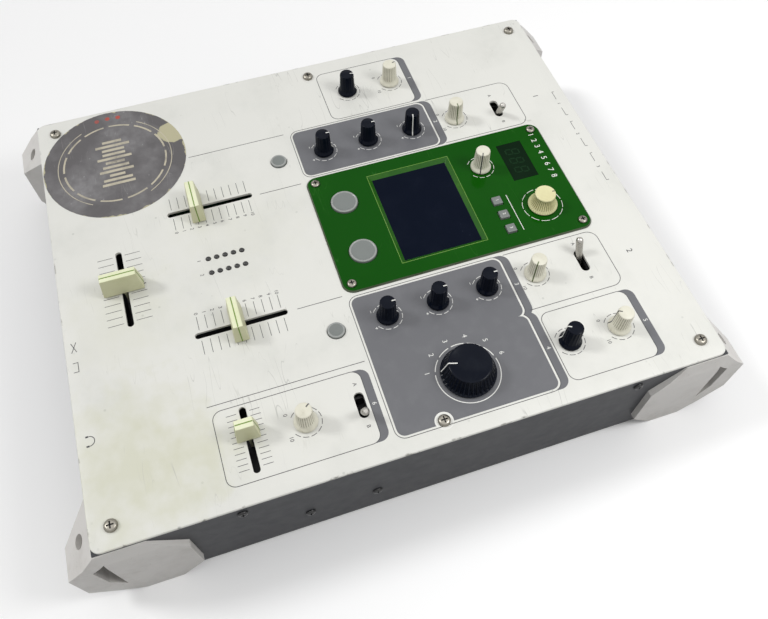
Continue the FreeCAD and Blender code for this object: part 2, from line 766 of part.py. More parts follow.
def knob_profile(kind, deck):
    """Half outline of a knob and its shaft, from the shaft's lower end."""
    base = f"({deck} + knob_gap - {BOARD_TOP} - pot_floor)"
    shaft = [("0", "0"), ("shaft_radius", "0"), ("shaft_radius", base)]
    shapes = {
        "small": [
            ("knob_skirt_radius", base),
            ("knob_skirt_radius", f"{base} + knob_skirt_edge"),
            ("knob_waist_radius", f"{base} + knob_skirt_height"),
            ("knob_top_radius", f"{base} + knob_height - knob_edge"),
            ("knob_top_radius - knob_edge", f"{base} + knob_height"),
            ("0", f"{base} + knob_height"),
        ],
        "dial": [
            ("dial_skirt_radius", base),
            ("dial_skirt_radius", f"{base} + dial_skirt_edge"),
            ("dial_waist_radius", f"{base} + dial_height / 2"),
            ("dial_top_radius", f"{base} + dial_height - dial_edge"),
            ("dial_top_radius - dial_edge", f"{base} + dial_height"),
            ("0", f"{base} + dial_height"),
        ],
        "program": [
            ("program_skirt_radius", base),
            ("program_skirt_radius", f"{base} + program_skirt_edge"),
            ("(program_skirt_radius + program_waist_radius) / 2", f"{base} + program_waist_height / 2"),
            ("program_waist_radius", f"{base} + program_waist_height"),
            ("program_waist_radius", f"{base} + program_height - program_edge"),
            ("program_waist_radius - program_edge", f"{base} + program_height"),
            ("0", f"{base} + program_height"),
        ],
    }
    return shaft + shapes[kind]


def knobs():
    """Turned knobs on their shafts."""
    for name, x, y, kind, deck in KNOBS:
        node(name, place(turned(knob_profile(kind, deck)), x, y, f"{BOARD_TOP} + pot_floor"))


def faders():
    """Fader units on the board, and the caps on their stems and carriages."""
    units = []
    floor = f"({BOARD_TOP} + unit_floor)"
    cap_low = "(plate_top + cap_gap)"
    for name, x, y, travel, rest, span, along_y in FADERS:
        run = f"({travel} + carriage_length + 2 * slide_clearance)"
        case = block(f"{run} + 2 * unit_wall", "unit_width", "unit_height", "0", "0", BOARD_TOP)
        groove = block(run, "carriage_width + 2 * slide_clearance", "unit_height", "0", "0", floor)
        turn = QUARTER_TURN if along_y else UPRIGHT
        units.append(place(cut(case, groove), x, y, "0", turn))
        seat = f"({floor} + slide_clearance)"
        carriage = block("carriage_length", "carriage_width", "carriage_height", "0", "0", seat)
        stem = block("stem_length", "stem_gauge", f"{cap_low} - {seat}", "0", "0", seat)
        cap_crest = ("cap_top", f"{span} - 2 * cap_end_slope")
        cap = taper(("cap_base", span), cap_crest, "cap_height", "0", "0", cap_low)
        slider = join(carriage, stem, cap)
        if along_y:
            place(slider, x, f"{y} + {rest}", "0", turn)
        else:
            place(slider, f"{x} + {rest}", y, "0", turn)
        node(f"{name}_cap", slider)
    node("fader_units", gather(*units))


def toggles():
    """Round-ended levers that lean in their switch bodies."""
    bodies = []
    pivot = f"({PLATE_UNDER} - toggle_pivot_drop)"
    ball_low = f"({pivot} - toggle_ball_radius - slide_clearance)"
    for name, x, y, lean in TOGGLES:
        height = "board_drop - toggle_body_gap"
        case = block("toggle_body_length", "toggle_body_width", height, x, y, BOARD_TOP)
        width = "2 * toggle_ball_radius + 2 * running_clearance"
        cavity = block("toggle_cavity_length", width, "board_drop", x, y, ball_low)
        bodies.append(cut(case, cavity))
        reach = "toggle_pivot_drop + plate_gauge + toggle_reach"
        ball = doc.addObject("Part::Sphere", "Ball")
        bind(ball, Radius="toggle_ball_radius")
        stick = rod("toggle_radius", f"{reach} - toggle_radius", "0", "0", "0")
        tip = doc.addObject("Part::Sphere", "Tip")
        bind(tip, Radius="toggle_radius")
        place(tip, "0", "0", f"{reach} - toggle_radius")
        lever = place(join(ball, stick, tip), x, y, pivot, FreeCAD.Rotation(Y_AXIS, 1))
        lever.setExpression("Placement.Rotation.Angle", cell(lean))
        node(name, lever)
    return bodies


def buttons():
    """Flanged push buttons whose stems stand in key switches."""
    keys = []
    stem_low = f"({BOARD_TOP} + key_floor + button_travel + slide_clearance)"
    flange_top = f"({PLATE_UNDER} - slide_clearance)"
    flange_low = f"({flange_top} - button_flange_gauge)"
    for name, x, y, kind, deck in BUTTONS:
        top = f"({deck} + button_rise)"
        stem = rod("button_stem_radius", f"{flange_low} - {stem_low}", x, y, stem_low)
        if kind == "square":
            rim = "memory_size + 2 * button_clearance + 2 * button_flange"
            flange = block(rim, rim, "button_flange_gauge", x, y, flange_low)
            cap = block("memory_size", "memory_size", f"{top} - {flange_low}", x, y, flange_low)
        else:
            rim = f"{kind} + button_clearance + button_flange"
            flange = rod(rim, "button_flange_gauge", x, y, flange_low)
            cap = rod(kind, f"{top} - {flange_low}", x, y, flange_low)
        node(name, join(stem, flange, cap))
        case = block("key_size", "key_size", "key_height", x, y, BOARD_TOP)
        bore = rod("button_stem_radius + running_clearance", "key_height", x, y, f"{BOARD_TOP} + key_floor")
        keys.append(cut(case, bore))
    node("key_switches", gather(*keys))


def lamps():
    """Two columns of level lamps that stand on the board."""
    tall = f"plate_top - {BOARD_TOP}"
    node("level_lamps", gather(*[rod("lamp_radius", tall, x, y, BOARD_TOP) for x, y in lamp_places()]))


def phone_socket(name, x, z, turn, side):
    """Jack socket with its nut outside the wall and its body inside."""
    bore_length = "phone_nut + wall_gauge + phone_body_depth"
    outside = f"{side}{END_FACE}"
    inside = f"{side}({END_INSIDE} - phone_body_depth / 2)"
    nut = rod("phone_radius", "phone_nut", x, outside, z, turn)
    neck = rod("phone_bore_radius + hole_clearance", "wall_gauge", x, f"{side}{END_INSIDE}", z, turn)
    body = block("phone_body", "phone_body_depth", "phone_body", x, inside, f"{z} - phone_body / 2")
    back = f"{side}({END_INSIDE} - phone_body_depth + wall_gauge)"
    bore = rod("phone_bore_radius", bore_length, x, back, z, turn)
    node(name, cut(join(nut, neck, body), bore))


def rear_sockets():
    """Phono sockets, power inlet and ground post."""
    sockets = []
    rca_y = f"{END_INSIDE} - rca_body_depth / 2"
    for x, z in rca_places():
        flange = rod("rca_flange_radius", "rca_flange", x, END_FACE, z, TO_REAR)
        barrel = rod("rca_radius", "wall_gauge + rca_length", x, END_INSIDE, z, TO_REAR)
        body = block("rca_body", "rca_body_depth", "rca_body", x, rca_y, f"{z} - rca_body / 2")
        bore = rod("rca_bore_radius", "wall_gauge + rca_length", x, END_INSIDE, z, TO_REAR)
        sockets.append(cut(join(flange, barrel, body), bore))
    node("rca_sockets", gather(*sockets))
    z = REAR_SOCKET_Z
    nut = rod("inlet_radius", "inlet_nut", INLET_X, END_FACE, z, TO_REAR)
    neck = rod("inlet_bore_radius + hole_clearance", "wall_gauge", INLET_X, END_INSIDE, z, TO_REAR)
    inlet_y = f"{END_INSIDE} - inlet_depth / 2"
    body = block("inlet_body", "inlet_depth", "inlet_body", INLET_X, inlet_y, f"{z} - inlet_body / 2")
    back = f"{END_INSIDE} - inlet_depth + wall_gauge"
    bore = rod("inlet_bore_radius", "inlet_depth + wall_gauge + inlet_nut", INLET_X, back, z, TO_REAR)
    pin = rod("inlet_pin_radius", "inlet_depth", INLET_X, back, z, TO_REAR)
    node("power_inlet", join(cut(join(nut, neck, body), bore), pin))
    stud = rod("ground_stud_radius", "2 * wall_gauge", GROUND_X, f"{END_INSIDE} - wall_gauge", z, TO_REAR)
    thumb = rod("ground_radius", "ground_length", GROUND_X, END_FACE, z, TO_REAR)
    node("ground_post", join(stud, thumb))


def power_button():
    """Sprung push button in the rear wall; returns its switch body."""
    z = REAR_SOCKET_Z
    floor = f"({END_INSIDE} - power_body_depth + wall_gauge)"
    body_y = f"{END_INSIDE} - power_body_depth / 2"
    body = block("power_body", "power_body_depth", "power_body", POWER_X, body_y, f"{z} - power_body / 2")
    room = "power_travel + wall_gauge + slide_clearance"
    cavity = rod("power_radius + button_clearance", room, POWER_X, f"{END_INSIDE} - ({room})", z, TO_REAR)
    guide = "power_stem_radius + running_clearance"
    bore = rod(guide, "power_body_depth", POWER_X, floor, z, TO_REAR)
    stem_back = f"({floor} + power_travel + slide_clearance)"
    stem = rod("power_stem_radius", f"{END_FACE} - {stem_back}", POWER_X, stem_back, z, TO_REAR)
    cap = rod("power_radius", "power_rise + wall_gauge", POWER_X, END_INSIDE, z, TO_REAR)
    node("button_power", join(stem, cap))
    return cut(body, cavity, bore)


def curve_switch():
    """Sliding fader-curve switch in the front wall; returns its switch body."""
    z = FRONT_SOCKET_Z
    body_y = f"-({END_INSIDE} - curve_body_depth / 2)"
    body_low = f"{z} - curve_body_height / 2"
    long = f"({CURVE_SLOT} + 2 * curve_wall)"
    body = block(long, "curve_body_depth", "curve_body_height", "curve_x", body_y, body_low)
    high = "(curve_lever_height + 2 * slide_clearance)"
    cavity_y = f"-({END_INSIDE} - curve_cavity_depth / 2)"
    cavity = block(CURVE_SLOT, "curve_cavity_depth", high, "curve_x", cavity_y, f"{z} - {high} / 2")
    deep = "(curve_rise + wall_gauge + curve_cavity_depth - slide_clearance)"
    lever_y = f"-({END_FACE} + curve_rise - {deep} / 2)"
    lever_low = f"{z} - curve_lever_height / 2"
    node("curve_lever", block("curve_lever_width", deep, "curve_lever_height", "curve_x", lever_y, lever_low))
    return cut(body, cavity)


def check_and_write():
    """Stop on any failed object, then write one file for each sub-part."""
    doc.recompute()
    failed = [item.Name for item in doc.Objects if "Invalid" in item.State or "Error" in item.State]
    for name, item in nodes.items():
        if item.Shape.isNull() or not item.Shape.isValid():
            failed.append(name)
    if failed:
        raise RuntimeError(f"failed objects: {failed}")
    os.makedirs("parts", exist_ok=True)
    for name, item in nodes.items():
        item.Shape.exportStep(f"parts/{name}.step")
    print(f"{len(nodes)} sub-parts written")


top_plate()
base_sheet()
side_panel("side_panel_left", "-", TO_LEFT)
side_panel("side_panel_right", "", TO_RIGHT)
front_and_rear_panels()
corner_guards()
screws()
effects_panel()
boards()
potentiometers()
knobs()
faders()
buttons()
lamps()
phone_socket("mic_socket", MIC_X, REAR_SOCKET_Z, TO_REAR, "")
phone_socket("headphone_socket", "headphone_x", FRONT_SOCKET_Z, TO_FRONT, "-")
rear_sockets()
node("switch_bodies", gather(*toggles(), power_button(), curve_switch()))
check_and_write()
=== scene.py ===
import json
import math

import bpy
from bpy.props import FloatProperty, FloatVectorProperty, PointerProperty
from mathutils import Color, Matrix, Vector


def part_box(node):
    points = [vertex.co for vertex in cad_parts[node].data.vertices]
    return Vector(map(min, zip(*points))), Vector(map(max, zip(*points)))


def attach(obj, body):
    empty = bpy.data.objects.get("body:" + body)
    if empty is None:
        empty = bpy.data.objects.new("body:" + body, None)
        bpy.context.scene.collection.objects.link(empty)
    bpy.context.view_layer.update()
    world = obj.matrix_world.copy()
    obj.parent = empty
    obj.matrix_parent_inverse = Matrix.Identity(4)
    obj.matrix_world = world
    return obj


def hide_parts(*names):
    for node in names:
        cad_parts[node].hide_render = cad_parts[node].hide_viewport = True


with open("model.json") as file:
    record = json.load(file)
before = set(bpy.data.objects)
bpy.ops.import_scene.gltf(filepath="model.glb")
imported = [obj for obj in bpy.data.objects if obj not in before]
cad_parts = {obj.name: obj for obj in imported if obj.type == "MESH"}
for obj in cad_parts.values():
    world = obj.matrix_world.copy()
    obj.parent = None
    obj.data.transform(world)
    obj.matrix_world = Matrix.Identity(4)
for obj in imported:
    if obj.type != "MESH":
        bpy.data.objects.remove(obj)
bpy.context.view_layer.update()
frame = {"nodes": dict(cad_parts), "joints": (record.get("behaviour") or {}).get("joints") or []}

bl_info = {
    "name": "Two-channel mixer",
    "version": (1, 0, 0),
    "blender": (4, 5, 0),
    "location": "3D View > Sidebar > Mixer",
    "description": "Dresses the packed frame of a two-channel mixer",
    "category": "Object",
}

MM = 0.001
JOINTS = {joint["child"]: joint for joint in frame["joints"]}
PLATE_LOW, PLATE_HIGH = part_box("top_plate")
PANEL_LOW, PANEL_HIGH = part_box("pad_panel")
TO_REAR = (-math.pi / 2, 0, 0)
TO_FRONT = (math.pi / 2, 0, 0)
PLATE_TOP = PLATE_HIGH.z
PANEL_TOP = PANEL_HIGH.z

# Half outlines of the turned pieces: radius and height in millimetres, from the lower end up
SMALL_KNOB = [(3.0, -16.0), (3.0, 0.0), (5.9, 0.0), (6.2, 0.3), (6.2, 1.0), (5.75, 1.7), (5.15, 2.5),
              (4.8, 3.5), (4.35, 13.9), (4.1, 14.3), (3.7, 14.5)]
SELECTOR = [(3.0, -16.0), (3.0, 0.0), (14.4, 0.0), (14.8, 0.4), (14.8, 1.0), (14.3, 1.5), (12.9, 5.5),
            (11.4, 10.2), (11.2, 10.7), (10.7, 11.0), (10.2, 11.0), (9.9, 10.8)]
PROGRAM_KNOB = [(3.0, -16.0), (3.0, 0.0), (8.4, 0.0), (8.7, 0.3), (8.7, 0.8), (7.9, 2.0), (7.2, 3.5),
                (6.5, 5.2), (6.1, 6.8), (6.0, 8.6), (6.1, 9.2), (6.0, 9.7), (5.6, 10.0)]
LEVER = [(0.9, -2.1), (1.9, -1.3), (2.3, 0.0), (2.1, 1.2), (1.85, 7.0), (2.1, 19.4), (2.0, 20.7), (1.6, 21.5),
         (0.9, 22.0)]
ROUND_BUTTON = [(1.8, -14.0), (1.8, -2.8), (6.1, -2.8), (6.1, -1.7), (4.8, -1.7), (4.8, 0.9), (4.6, 1.25),
                (4.2, 1.4), (3.8, 1.25), (1.0, 1.15)]
EFFECT_BUTTON = [(1.8, -14.0), (1.8, -4.0), (9.3, -4.0), (9.3, -2.9), (8.0, -2.9), (8.0, 0.8), (7.75, 1.2),
                 (7.2, 1.4), (6.8, 1.15), (6.2, 1.0), (4.0, 1.1), (1.0, 1.15)]
LAMP = [(1.5, -15.0), (1.5, 0.1), (1.42, 0.4), (1.15, 0.75), (0.6, 0.95)]
PLATE_SCREW = [(1.5, -6.0), (1.5, 0.0), (3.2, 0.0), (3.3, 0.2), (3.3, 0.9), (3.0, 1.55), (2.4, 2.0),
               (1.5, 2.2)]
SMALL_SCREW = [(1.5, -4.0), (1.5, 0.0), (2.6, 0.0), (2.7, 0.2), (2.7, 0.6), (2.4, 1.1), (1.9, 1.4),
               (1.1, 1.5)]
THUMB_NUT = [(2.0, -1.5), (2.0, 0.0), (3.4, 0.0), (3.4, 1.6), (4.3, 1.6), (4.5, 1.9), (4.5, 8.3), (4.2, 8.7),
             (2.2, 9.0)]
POWER_CAP = [(2.0, -5.0), (2.0, -1.4), (4.0, -1.4), (4.0, 4.2), (3.8, 4.7), (3.3, 5.0)]
JACK_BUSHING = [(4.6, -1.0), (4.6, 3.6), (4.2, 3.9), (3.3, 3.9), (3.3, -1.0)]
PHONO_CORE = [(3.7, 8.0), (3.7, 9.2), (3.5, 9.35), (1.7, 9.35), (1.7, 6.0)]

# Pointer lines: reach from the knob's axis and height, from the top down the side
SMALL_POINTER = [(2.1, 14.5), (3.7, 14.5), (4.15, 14.3), (4.4, 13.9), (4.83, 3.5), (5.2, 2.5), (5.8, 1.7),
                 (6.22, 1.0), (6.22, 0.3)]
SELECTOR_POINTER = [(6.5, 10.8), (9.9, 10.8), (10.3, 11.02), (10.75, 11.02), (11.25, 10.7), (11.45, 10.2),
                    (12.95, 5.5), (14.35, 1.5)]
PROGRAM_POINTER = [(4.2, 10.0), (5.6, 10.0)]
CAP_LINE = [(0.0, 13.0), (9.3, 13.0), (9.78, 12.6), (11.22, 0.4)]
CUE_CAP_LINE = [(0.0, 13.0), (4.2, 13.0), (4.68, 12.6), (6.12, 0.4)]
STRIP_GAUGE = 0.12 * MM

# Depth of the fine grain in the finishes
GRAIN_DEPTH = 0.05 * MM

# Fader caps: span across the slot, base and crest along it, slope of the ends, edges, and the stem below
LONG_CAP = 22.4
SHORT_CAP = 12.2
CAP_BASE = 8.0
CAP_CREST = 5.2
CAP_SLOPE = 1.5
CAP_EDGE = 0.45
CAP_STEM = (4.0, 1.4, 14.0)

# Cross recesses of the screws: sizes of the arms, reach of the painted shade in them, bright rim above it
PLATE_RECESS = 3.6
SMALL_RECESS = 2.8
RECESS_WIDTH = 0.75
RECESS_DEPTHS = (1.0, 1.1)
RECESS_SHADE_REACH = 1.9
RECESS_RIM = 0.15

# Points of one side screw lie within this reach of each other
SIDE_SCREW_REACH = 8

# Jack nuts: radius over the corners, height, bore and edge; phono sockets: radius of a flange, columns
NUT_RADIUS = 8.3
NUT_HEIGHT = 3.1
NUT_BORE = 4.5
NUT_EDGE = 0.4
PHONO_FLANGE = 5.5
PHONO_COLUMNS = 6

# Holes in the plate and the panel, and the edges of what stands in them
SHAFT_HOLE = 3.6
SCREW_HOLE = 1.65
LAMP_HOLE = 1.6
LAMPS_IN_COLUMN = 5
BUTTON_FLANGE = 1.35
BUTTON_GAP = 0.35
# Width of the painted highlight on the push buttons' upper rim
BUTTON_HIGHLIGHT_RIM = 1.3
SQUARE_BUTTON_EDGE = 0.45
CURVE_LEVER_EDGE = 0.3
SLOT_WIDTH = 3.6
SLOT_ROOM = 6.0
TOGGLE_SLOT = (14.5, 5.2)
MIDDLE_SCREW_Y = 10.0
TOUCH_Y = 46.9
TOUCH_SIZE = (61.6, 47.0)
BEZEL_SLOPE = 2.2
BEZEL_LIP = 3.0
BEZEL_WELD = 0.3
# Inner and outer reach of the painted highlight round the touch pad's slopes
BEZEL_HIGHLIGHT_RIM = (0.15, 0.5)
SEAT = 0.3
LENS_GAP = 0.1

# Groups of like controls
EQ_KNOBS = [f"knob_{band}_{channel}" for channel in "12" for band in ("low", "mid", "high")]
IVORY_KNOBS = ("knob_mic_level", "knob_effect_depth", "knob_master_level", "knob_monitor_level")
RINGED_KNOBS = ("knob_mic_balance", "knob_mic_level", "knob_trim_1", "knob_trim_2", "knob_pan",
                "knob_master_level", "knob_monitor_level")
NUMBERED_KNOBS = ("knob_mic_level", "knob_monitor_level", "knob_master_level", "knob_trim_1", "knob_trim_2")
FADER_CAPS = ("crossfader_cap", "fader_1_cap", "fader_2_cap", "cue_fader_cap")
TOGGLES = ("toggle_input_1", "toggle_input_2", "toggle_monitor")

# Printed sections of the plate: x of their sides, front, rear and corner radius
MIC_SECTION = ((-128.8, -85.8), 14.8, 71.9, 5.0)
MASTER_SECTION = ((87.6, 129.8), 80.2, 131.4, 5.0)
MONITOR_SECTION = ((88.4, 129.4), -100.0, -22.4, 5.0)
PLAIN_SECTIONS = (MIC_SECTION, MASTER_SECTION, MONITOR_SECTION)
EQ_SECTIONS = (((-82.9, -45.8), -13.6, 73.4, 4.2), ((46.2, 85.2, 130.4), -14.2, 73.4, 4.2))
INPUT_OUTLINES = [((-84.0, -45.0), 77.0, 133.4, 6.0), ((45.4, 83.6), 77.0, 134.0, 6.0)]
SECTION_LINES = [(-83.7, -79.0, -18.4), (-41.5, -43.7, -18.2), (43.0, -43.0, -17.6), (84.7, -101.4, -17.8)]
BAND_DEPTH = 4.4
LINE_WIDTH = 0.35
LINE_GAP = 1.25
PRINT_DEPTH = 0.015 * MM

# Rings, scales and signs round the controls
RING_RADIUS = 8.1
RING_SWEEP = 300
RING_WIDTH = 0.33
PROGRAM_RING = 11.9
SELECTOR_RING = 17.1
SELECTOR_RING_WIDTH = 0.5
SELECTOR_PLACES = 6
SELECTOR_FIRST = -89
SELECTOR_STEP = 30
SELECTOR_GAP = 3
SIGN_REACH = 9.6
SIGN_TURN = 146
SIGN_BAR = (1.4, 0.32)
SIGN_ARM = (0.32, 0.52)
SIGN_ARM_OUT = 0.42
TICK_STEPS = 10
TICK_GAP = 3.4
TICK_WIDTH = 0.28
MIDDLE_TICK_WIDTH = 0.6
LONG_TICK = 8.6
SHORT_TICK = 5.2
BARE_SPOT = 4.9
MEMORY_BAR_Y = 7.0
MEMORY_BAR = (27.0, 0.4)
REAR_GROUPS = [(-65, -43), (-37, -15), (-9, 14)]
REAR_MARKS_Y = 158.8
FRONT_MARKS_Y = -161.4
CROSS_MARK_X = -5.0
BRACKET_MARK_X = 7.1
EARPHONE_MARK_X = 2.5
EARPHONE_MARK_Y = -159.9

# Numerals: heights of the type, and distances from what they belong to
SMALL_TYPE = 2.9
KEY_TYPE = 2.6
SECTION_TYPE = 3.4
SELECTOR_TYPE = 3.8
LARGE_TYPE = 5.0
SELECTOR_TYPE_RADIUS = 21.5
FADER_TYPE_X = 13.9
LAMP_TYPE_Y = -5.5
LEVEL_TYPE = (6.6, -9.2)
TOGGLE_TYPE_X = 12.0
CHANNEL_TYPE = (65, 147)
PANEL_TYPE = (-33.5, 129.3)
PANEL_TYPE_STEP = 5.0
PANEL_TYPE_COUNT = 8

# Round sticker: place, size, torn spot, bars, radius and width of its rings, and dots
STICKER_CENTRE = (-94.6, -122.5)
STICKER_RADIUS = 43.3
STICKER_TEAR = (-14, 39.5)
STICKER_BARS = 11
STICKER_BAR_STEP = 3.5
STICKER_BAR_WIDTH = 1.9
STICKER_BAR_LEAST = 6
STICKER_BAR_SWING = 15
STICKER_RING = (31, 1.1)
STICKER_OUTER_RING = (34.5, 0.5)
STICKER_DOT_RADIUS = 1.5
STICKER_DOT_RING = 38.0

# Wear of the plate: width of its chipped rim, and place, reach and strength of its yellow stains
CHIPPED_RIM = (1.1, 0.2)
STAINS = [(104, -143, 54, 0.55), (108, -108, 30, 0.3), (20, -135, 40, 0.2), (-20, -60, 45, 0.12)]

# Stage: turns in degrees, sensor in millimetres, lamp's height and floor in metres
CAMERA_TURN = (30.5016, 0.0520, 71.6920)
CAMERA_SENSOR = 36.0
FRONT_LAMP_TURN = (46, 0, -28)
TOP_LAMP_TURN = (0, 0, 0)
LAMP_HEIGHT = 2
FLOOR_SIZE = 8


def length(label, about, millimetres):
    """A size that is shown as a length."""
    return FloatProperty(name=label, description=about, default=millimetres * MM, unit="LENGTH")


def tint(label, about, *shade):
    """A colour as it looks on a screen."""
    return FloatVectorProperty(name=label, description=about, default=shade, subtype="COLOR_GAMMA", min=0,
                               max=1)


def level(label, about, value):
    """A plain strength or share."""
    return FloatProperty(name=label, description=about, default=value, min=0)


class PlateLook(bpy.types.PropertyGroup):
    """Paint, inks and edge of the top plate."""
    paint: tint("Paint", "Off-white paint of the plate", 0.87, 0.869, 0.846)
    dirt: tint("Dirt", "Grey smudges on the paint", 0.70, 0.71, 0.68)
    stain: tint("Stain", "Yellow stains towards the front", 0.77, 0.77, 0.655)
    ink: tint("Ink", "Dark printed lines", 0.22, 0.22, 0.23)
    grey_ink: tint("Grey ink", "Printed sections", 0.385, 0.388, 0.403)
    pale_ink: tint("Pale ink", "Lines on the dark sections", 0.90, 0.90, 0.88)
    sticker: tint("Sticker", "Worn disc at the front left", 0.325, 0.315, 0.32)
    motif: tint("Motif", "Pattern on the sticker", 0.74, 0.71, 0.63)
    accent: tint("Accent", "Small marks on the sticker", 0.66, 0.27, 0.22)
    torn: tint("Torn paper", "Paper where the sticker is torn", 0.70, 0.68, 0.56)
    corner: length("Corner", "Corner radius of the plate", 5.0)
    edge: length("Edge", "Rounding along the plate's upper edge", 0.6)


class PanelLook(bpy.types.PropertyGroup):
    """Colours of the effects panel."""
    green: tint("Green", "Gloss of the effects panel", 0.045, 0.295, 0.02)
    border: tint("Border", "Dark edge of the panel", 0.22, 0.27, 0.17)
    bezel: tint("Bezel", "Slopes round the touch pad", 0.13, 0.36, 0.05)
    # Painted highlight: a bright line standing in for the light caught along the upper edge of the touch
    # pad's slopes
    rim: tint("Rim", "Bright line round the touch pad's slopes", 0.36, 0.55, 0.14)
    glass: tint("Touch pad", "Navy face of the touch pad", 0.045, 0.07, 0.125)
    lens: tint("Lens", "Smoked display lens", 0.04, 0.125, 0.06)
    digit: tint("Digits", "Unlit segments behind the lens", 0.09, 0.19, 0.11)
    corner: length("Corner", "Corner radius of the panel", 6.5)
    chamfer: length("Chamfer", "Width of the panel's dark edge", 0.7)


class ControlLook(bpy.types.PropertyGroup):
    """Colours of knobs, caps, levers and buttons."""
    black: tint("Black", "Gloss black knobs", 0.035, 0.055, 0.10)
    ivory: tint("Ivory", "Ivory knobs", 0.875, 0.865, 0.80)
    # Painted shade: the grooves of the pale knobs are coloured darker than the ivory, standing in for the
    # shade that falls in them
    groove: tint("Groove", "Grooves of the pale knobs", 0.60, 0.58, 0.49)
    cream: tint("Cream", "Program knob", 0.87, 0.85, 0.665)
    # Painted shade: the program knob's grooves are coloured darker than the cream, standing in for shade
    cream_groove: tint("Cream grooves", "Grooves of the program knob", 0.53, 0.50, 0.32)
    cap: tint("Cap", "Fader caps", 0.91, 0.92, 0.79)
    # Painted shade: the caps' sloping sides are coloured darker than their tops, as if in shadow
    cap_side: tint("Cap sides", "Sloping sides of the fader caps", 0.80, 0.80, 0.66)
    line: tint("Line", "Green lines on the fader caps", 0.42, 0.54, 0.16)
    trim_line: tint("Trim line", "Olive pointers of the trim knobs", 0.29, 0.35, 0.16)
    steel: tint("Steel", "Bright levers", 0.68, 0.67, 0.65)
    screw: tint("Screw", "Duller screw heads", 0.55, 0.535, 0.50)
    side_screw: tint("Side screw", "Black screws of the side walls", 0.05, 0.05, 0.055)
    rubber: tint("Grey", "Grey push buttons", 0.455, 0.475, 0.465)
    # Painted highlight: a paler grey on the buttons' rounded upper rim, standing in for the light it catches
    rim: tint("Rim", "Paler rims of the push buttons", 0.60, 0.61, 0.60)
    lamp: tint("Lamp", "Unlit level lamps", 0.12, 0.12, 0.12)
    pointer: length("Pointer", "Width of the knobs' pointer lines", 0.6)


class CaseLook(bpy.types.PropertyGroup):
    """Colours of the case, the guards and the fittings."""
    paint: tint("Paint", "Dark grey sheet case", 0.245, 0.25, 0.262)
    guard: tint("Guard", "Pale corner guards", 0.84, 0.83, 0.815)
    black: tint("Black", "Black screws, switches and sockets", 0.10, 0.10, 0.105)
    nickel: tint("Nickel", "Plated sockets", 0.80, 0.77, 0.70)
    board: tint("Board", "Circuit board", 0.11, 0.33, 0.20)
    white_core: tint("White core", "Upper phono sockets", 0.88, 0.87, 0.83)
    red_core: tint("Red core", "Lower phono sockets", 0.66, 0.12, 0.10)


class StageLook(bpy.types.PropertyGroup):
    """Camera, lights and floor."""
    eye: FloatVectorProperty(name="Eye", description="Where the camera stands", subtype="TRANSLATION",
                             unit="LENGTH", default=(0.2520, -0.0621, 0.4140))
    turn: FloatVectorProperty(name="Turn", description="How the camera is turned", subtype="EULER",
                              unit="ROTATION", default=[math.radians(angle) for angle in CAMERA_TURN])
    lens: FloatProperty(name="Lens", description="Focal length of the camera", default=34.611, unit="CAMERA")
    front_light: level("Front light", "Strength of the lamp beyond the front", 1.0)
    rear_light: level("Rear light", "Power of the near lamp beyond the rear right", 1.75)
    rear_place: FloatVectorProperty(name="Rear lamp", description="Where the near lamp stands",
                                    default=(0.28, 0.42, 0.62), subtype="TRANSLATION", unit="LENGTH")
    rear_size: length("Rear lamp size", "Side of the near lamp", 240.0)
    top_light: level("Top light", "Strength of the broad lamp overhead", 0.92)
    softness: FloatProperty(name="Softness", description="Angle that each lamp spans",
                            default=math.radians(13), subtype="ANGLE")
    breadth: FloatProperty(name="Breadth", description="Angle that the overhead lamp spans",
                           default=math.radians(85), subtype="ANGLE")
    fill: level("Fill", "Strength of the light from all round", 0.32)
    floor: tint("Floor", "Pale floor", 0.99, 0.99, 0.99)
    bounce: tint("Bounce", "Shade of the floor in the light that it throws back", 0.70, 0.70, 0.70)


# Selecting and shaping


def deselect():
    """Leave nothing selected."""
    bpy.ops.object.select_all(action="DESELECT")


def pick(*pieces):
    """Select these pieces alone, with the first one active."""
    deselect()
    for piece in pieces:
        piece.select_set(True)
    bpy.context.view_layer.objects.active = pieces[0]


def choose(piece, domain, test):
    """Open a piece in edit mode with just those points, edges or faces selected that pass a test."""
    kind = {"vertices": "VERT", "edges": "EDGE", "polygons": "FACE"}[domain]
    pick(piece)
    bpy.ops.object.mode_set(mode="EDIT")
    bpy.ops.mesh.select_mode(type=kind)
    bpy.ops.mesh.select_all(action="DESELECT")
    bpy.ops.object.mode_set(mode="OBJECT")
    for part in getattr(piece.data, domain):
        part.select = test(part)
    bpy.ops.object.mode_set(mode="EDIT")


def close():
    """Leave edit mode."""
    bpy.ops.object.mode_set(mode="OBJECT")


def draw_out(*move):
    """Extrude what is selected and move it."""
    bpy.ops.mesh.extrude_region_move(TRANSFORM_OT_translate={"value": move})


def fix_place():
    """Put the active piece's place, turn and size into its mesh."""
    bpy.ops.object.transform_apply(location=True, rotation=True, scale=True)
    return bpy.context.object


def at(x, y, height):
    """A place in metres, from millimetres across the plate and a height in metres."""
    return x * MM, y * MM, height


def block(low, high):
    """Stretch a cube between two corners."""
    low, high = Vector(low), Vector(high)
    deselect()
    bpy.ops.mesh.primitive_cube_add(size=1, location=(low + high) / 2, scale=high - low)
    return fix_place()


def box_at(x, y, wide, deep, low, high):
    """Stretch a cube about an upright axis; sizes in millimetres, heights in metres."""
    return block(((x - wide / 2) * MM, (y - deep / 2) * MM, low),
                 ((x + wide / 2) * MM, (y + deep / 2) * MM, high))


def rod(x, y, radius, low, high, sides=32):
    """Add an upright cylinder; place and radius in millimetres, heights in metres."""
    deselect()
    bpy.ops.mesh.primitive_cylinder_add(vertices=sides, radius=radius * MM, depth=high - low,
                                        location=at(x, y, (low + high) / 2))
    return fix_place()


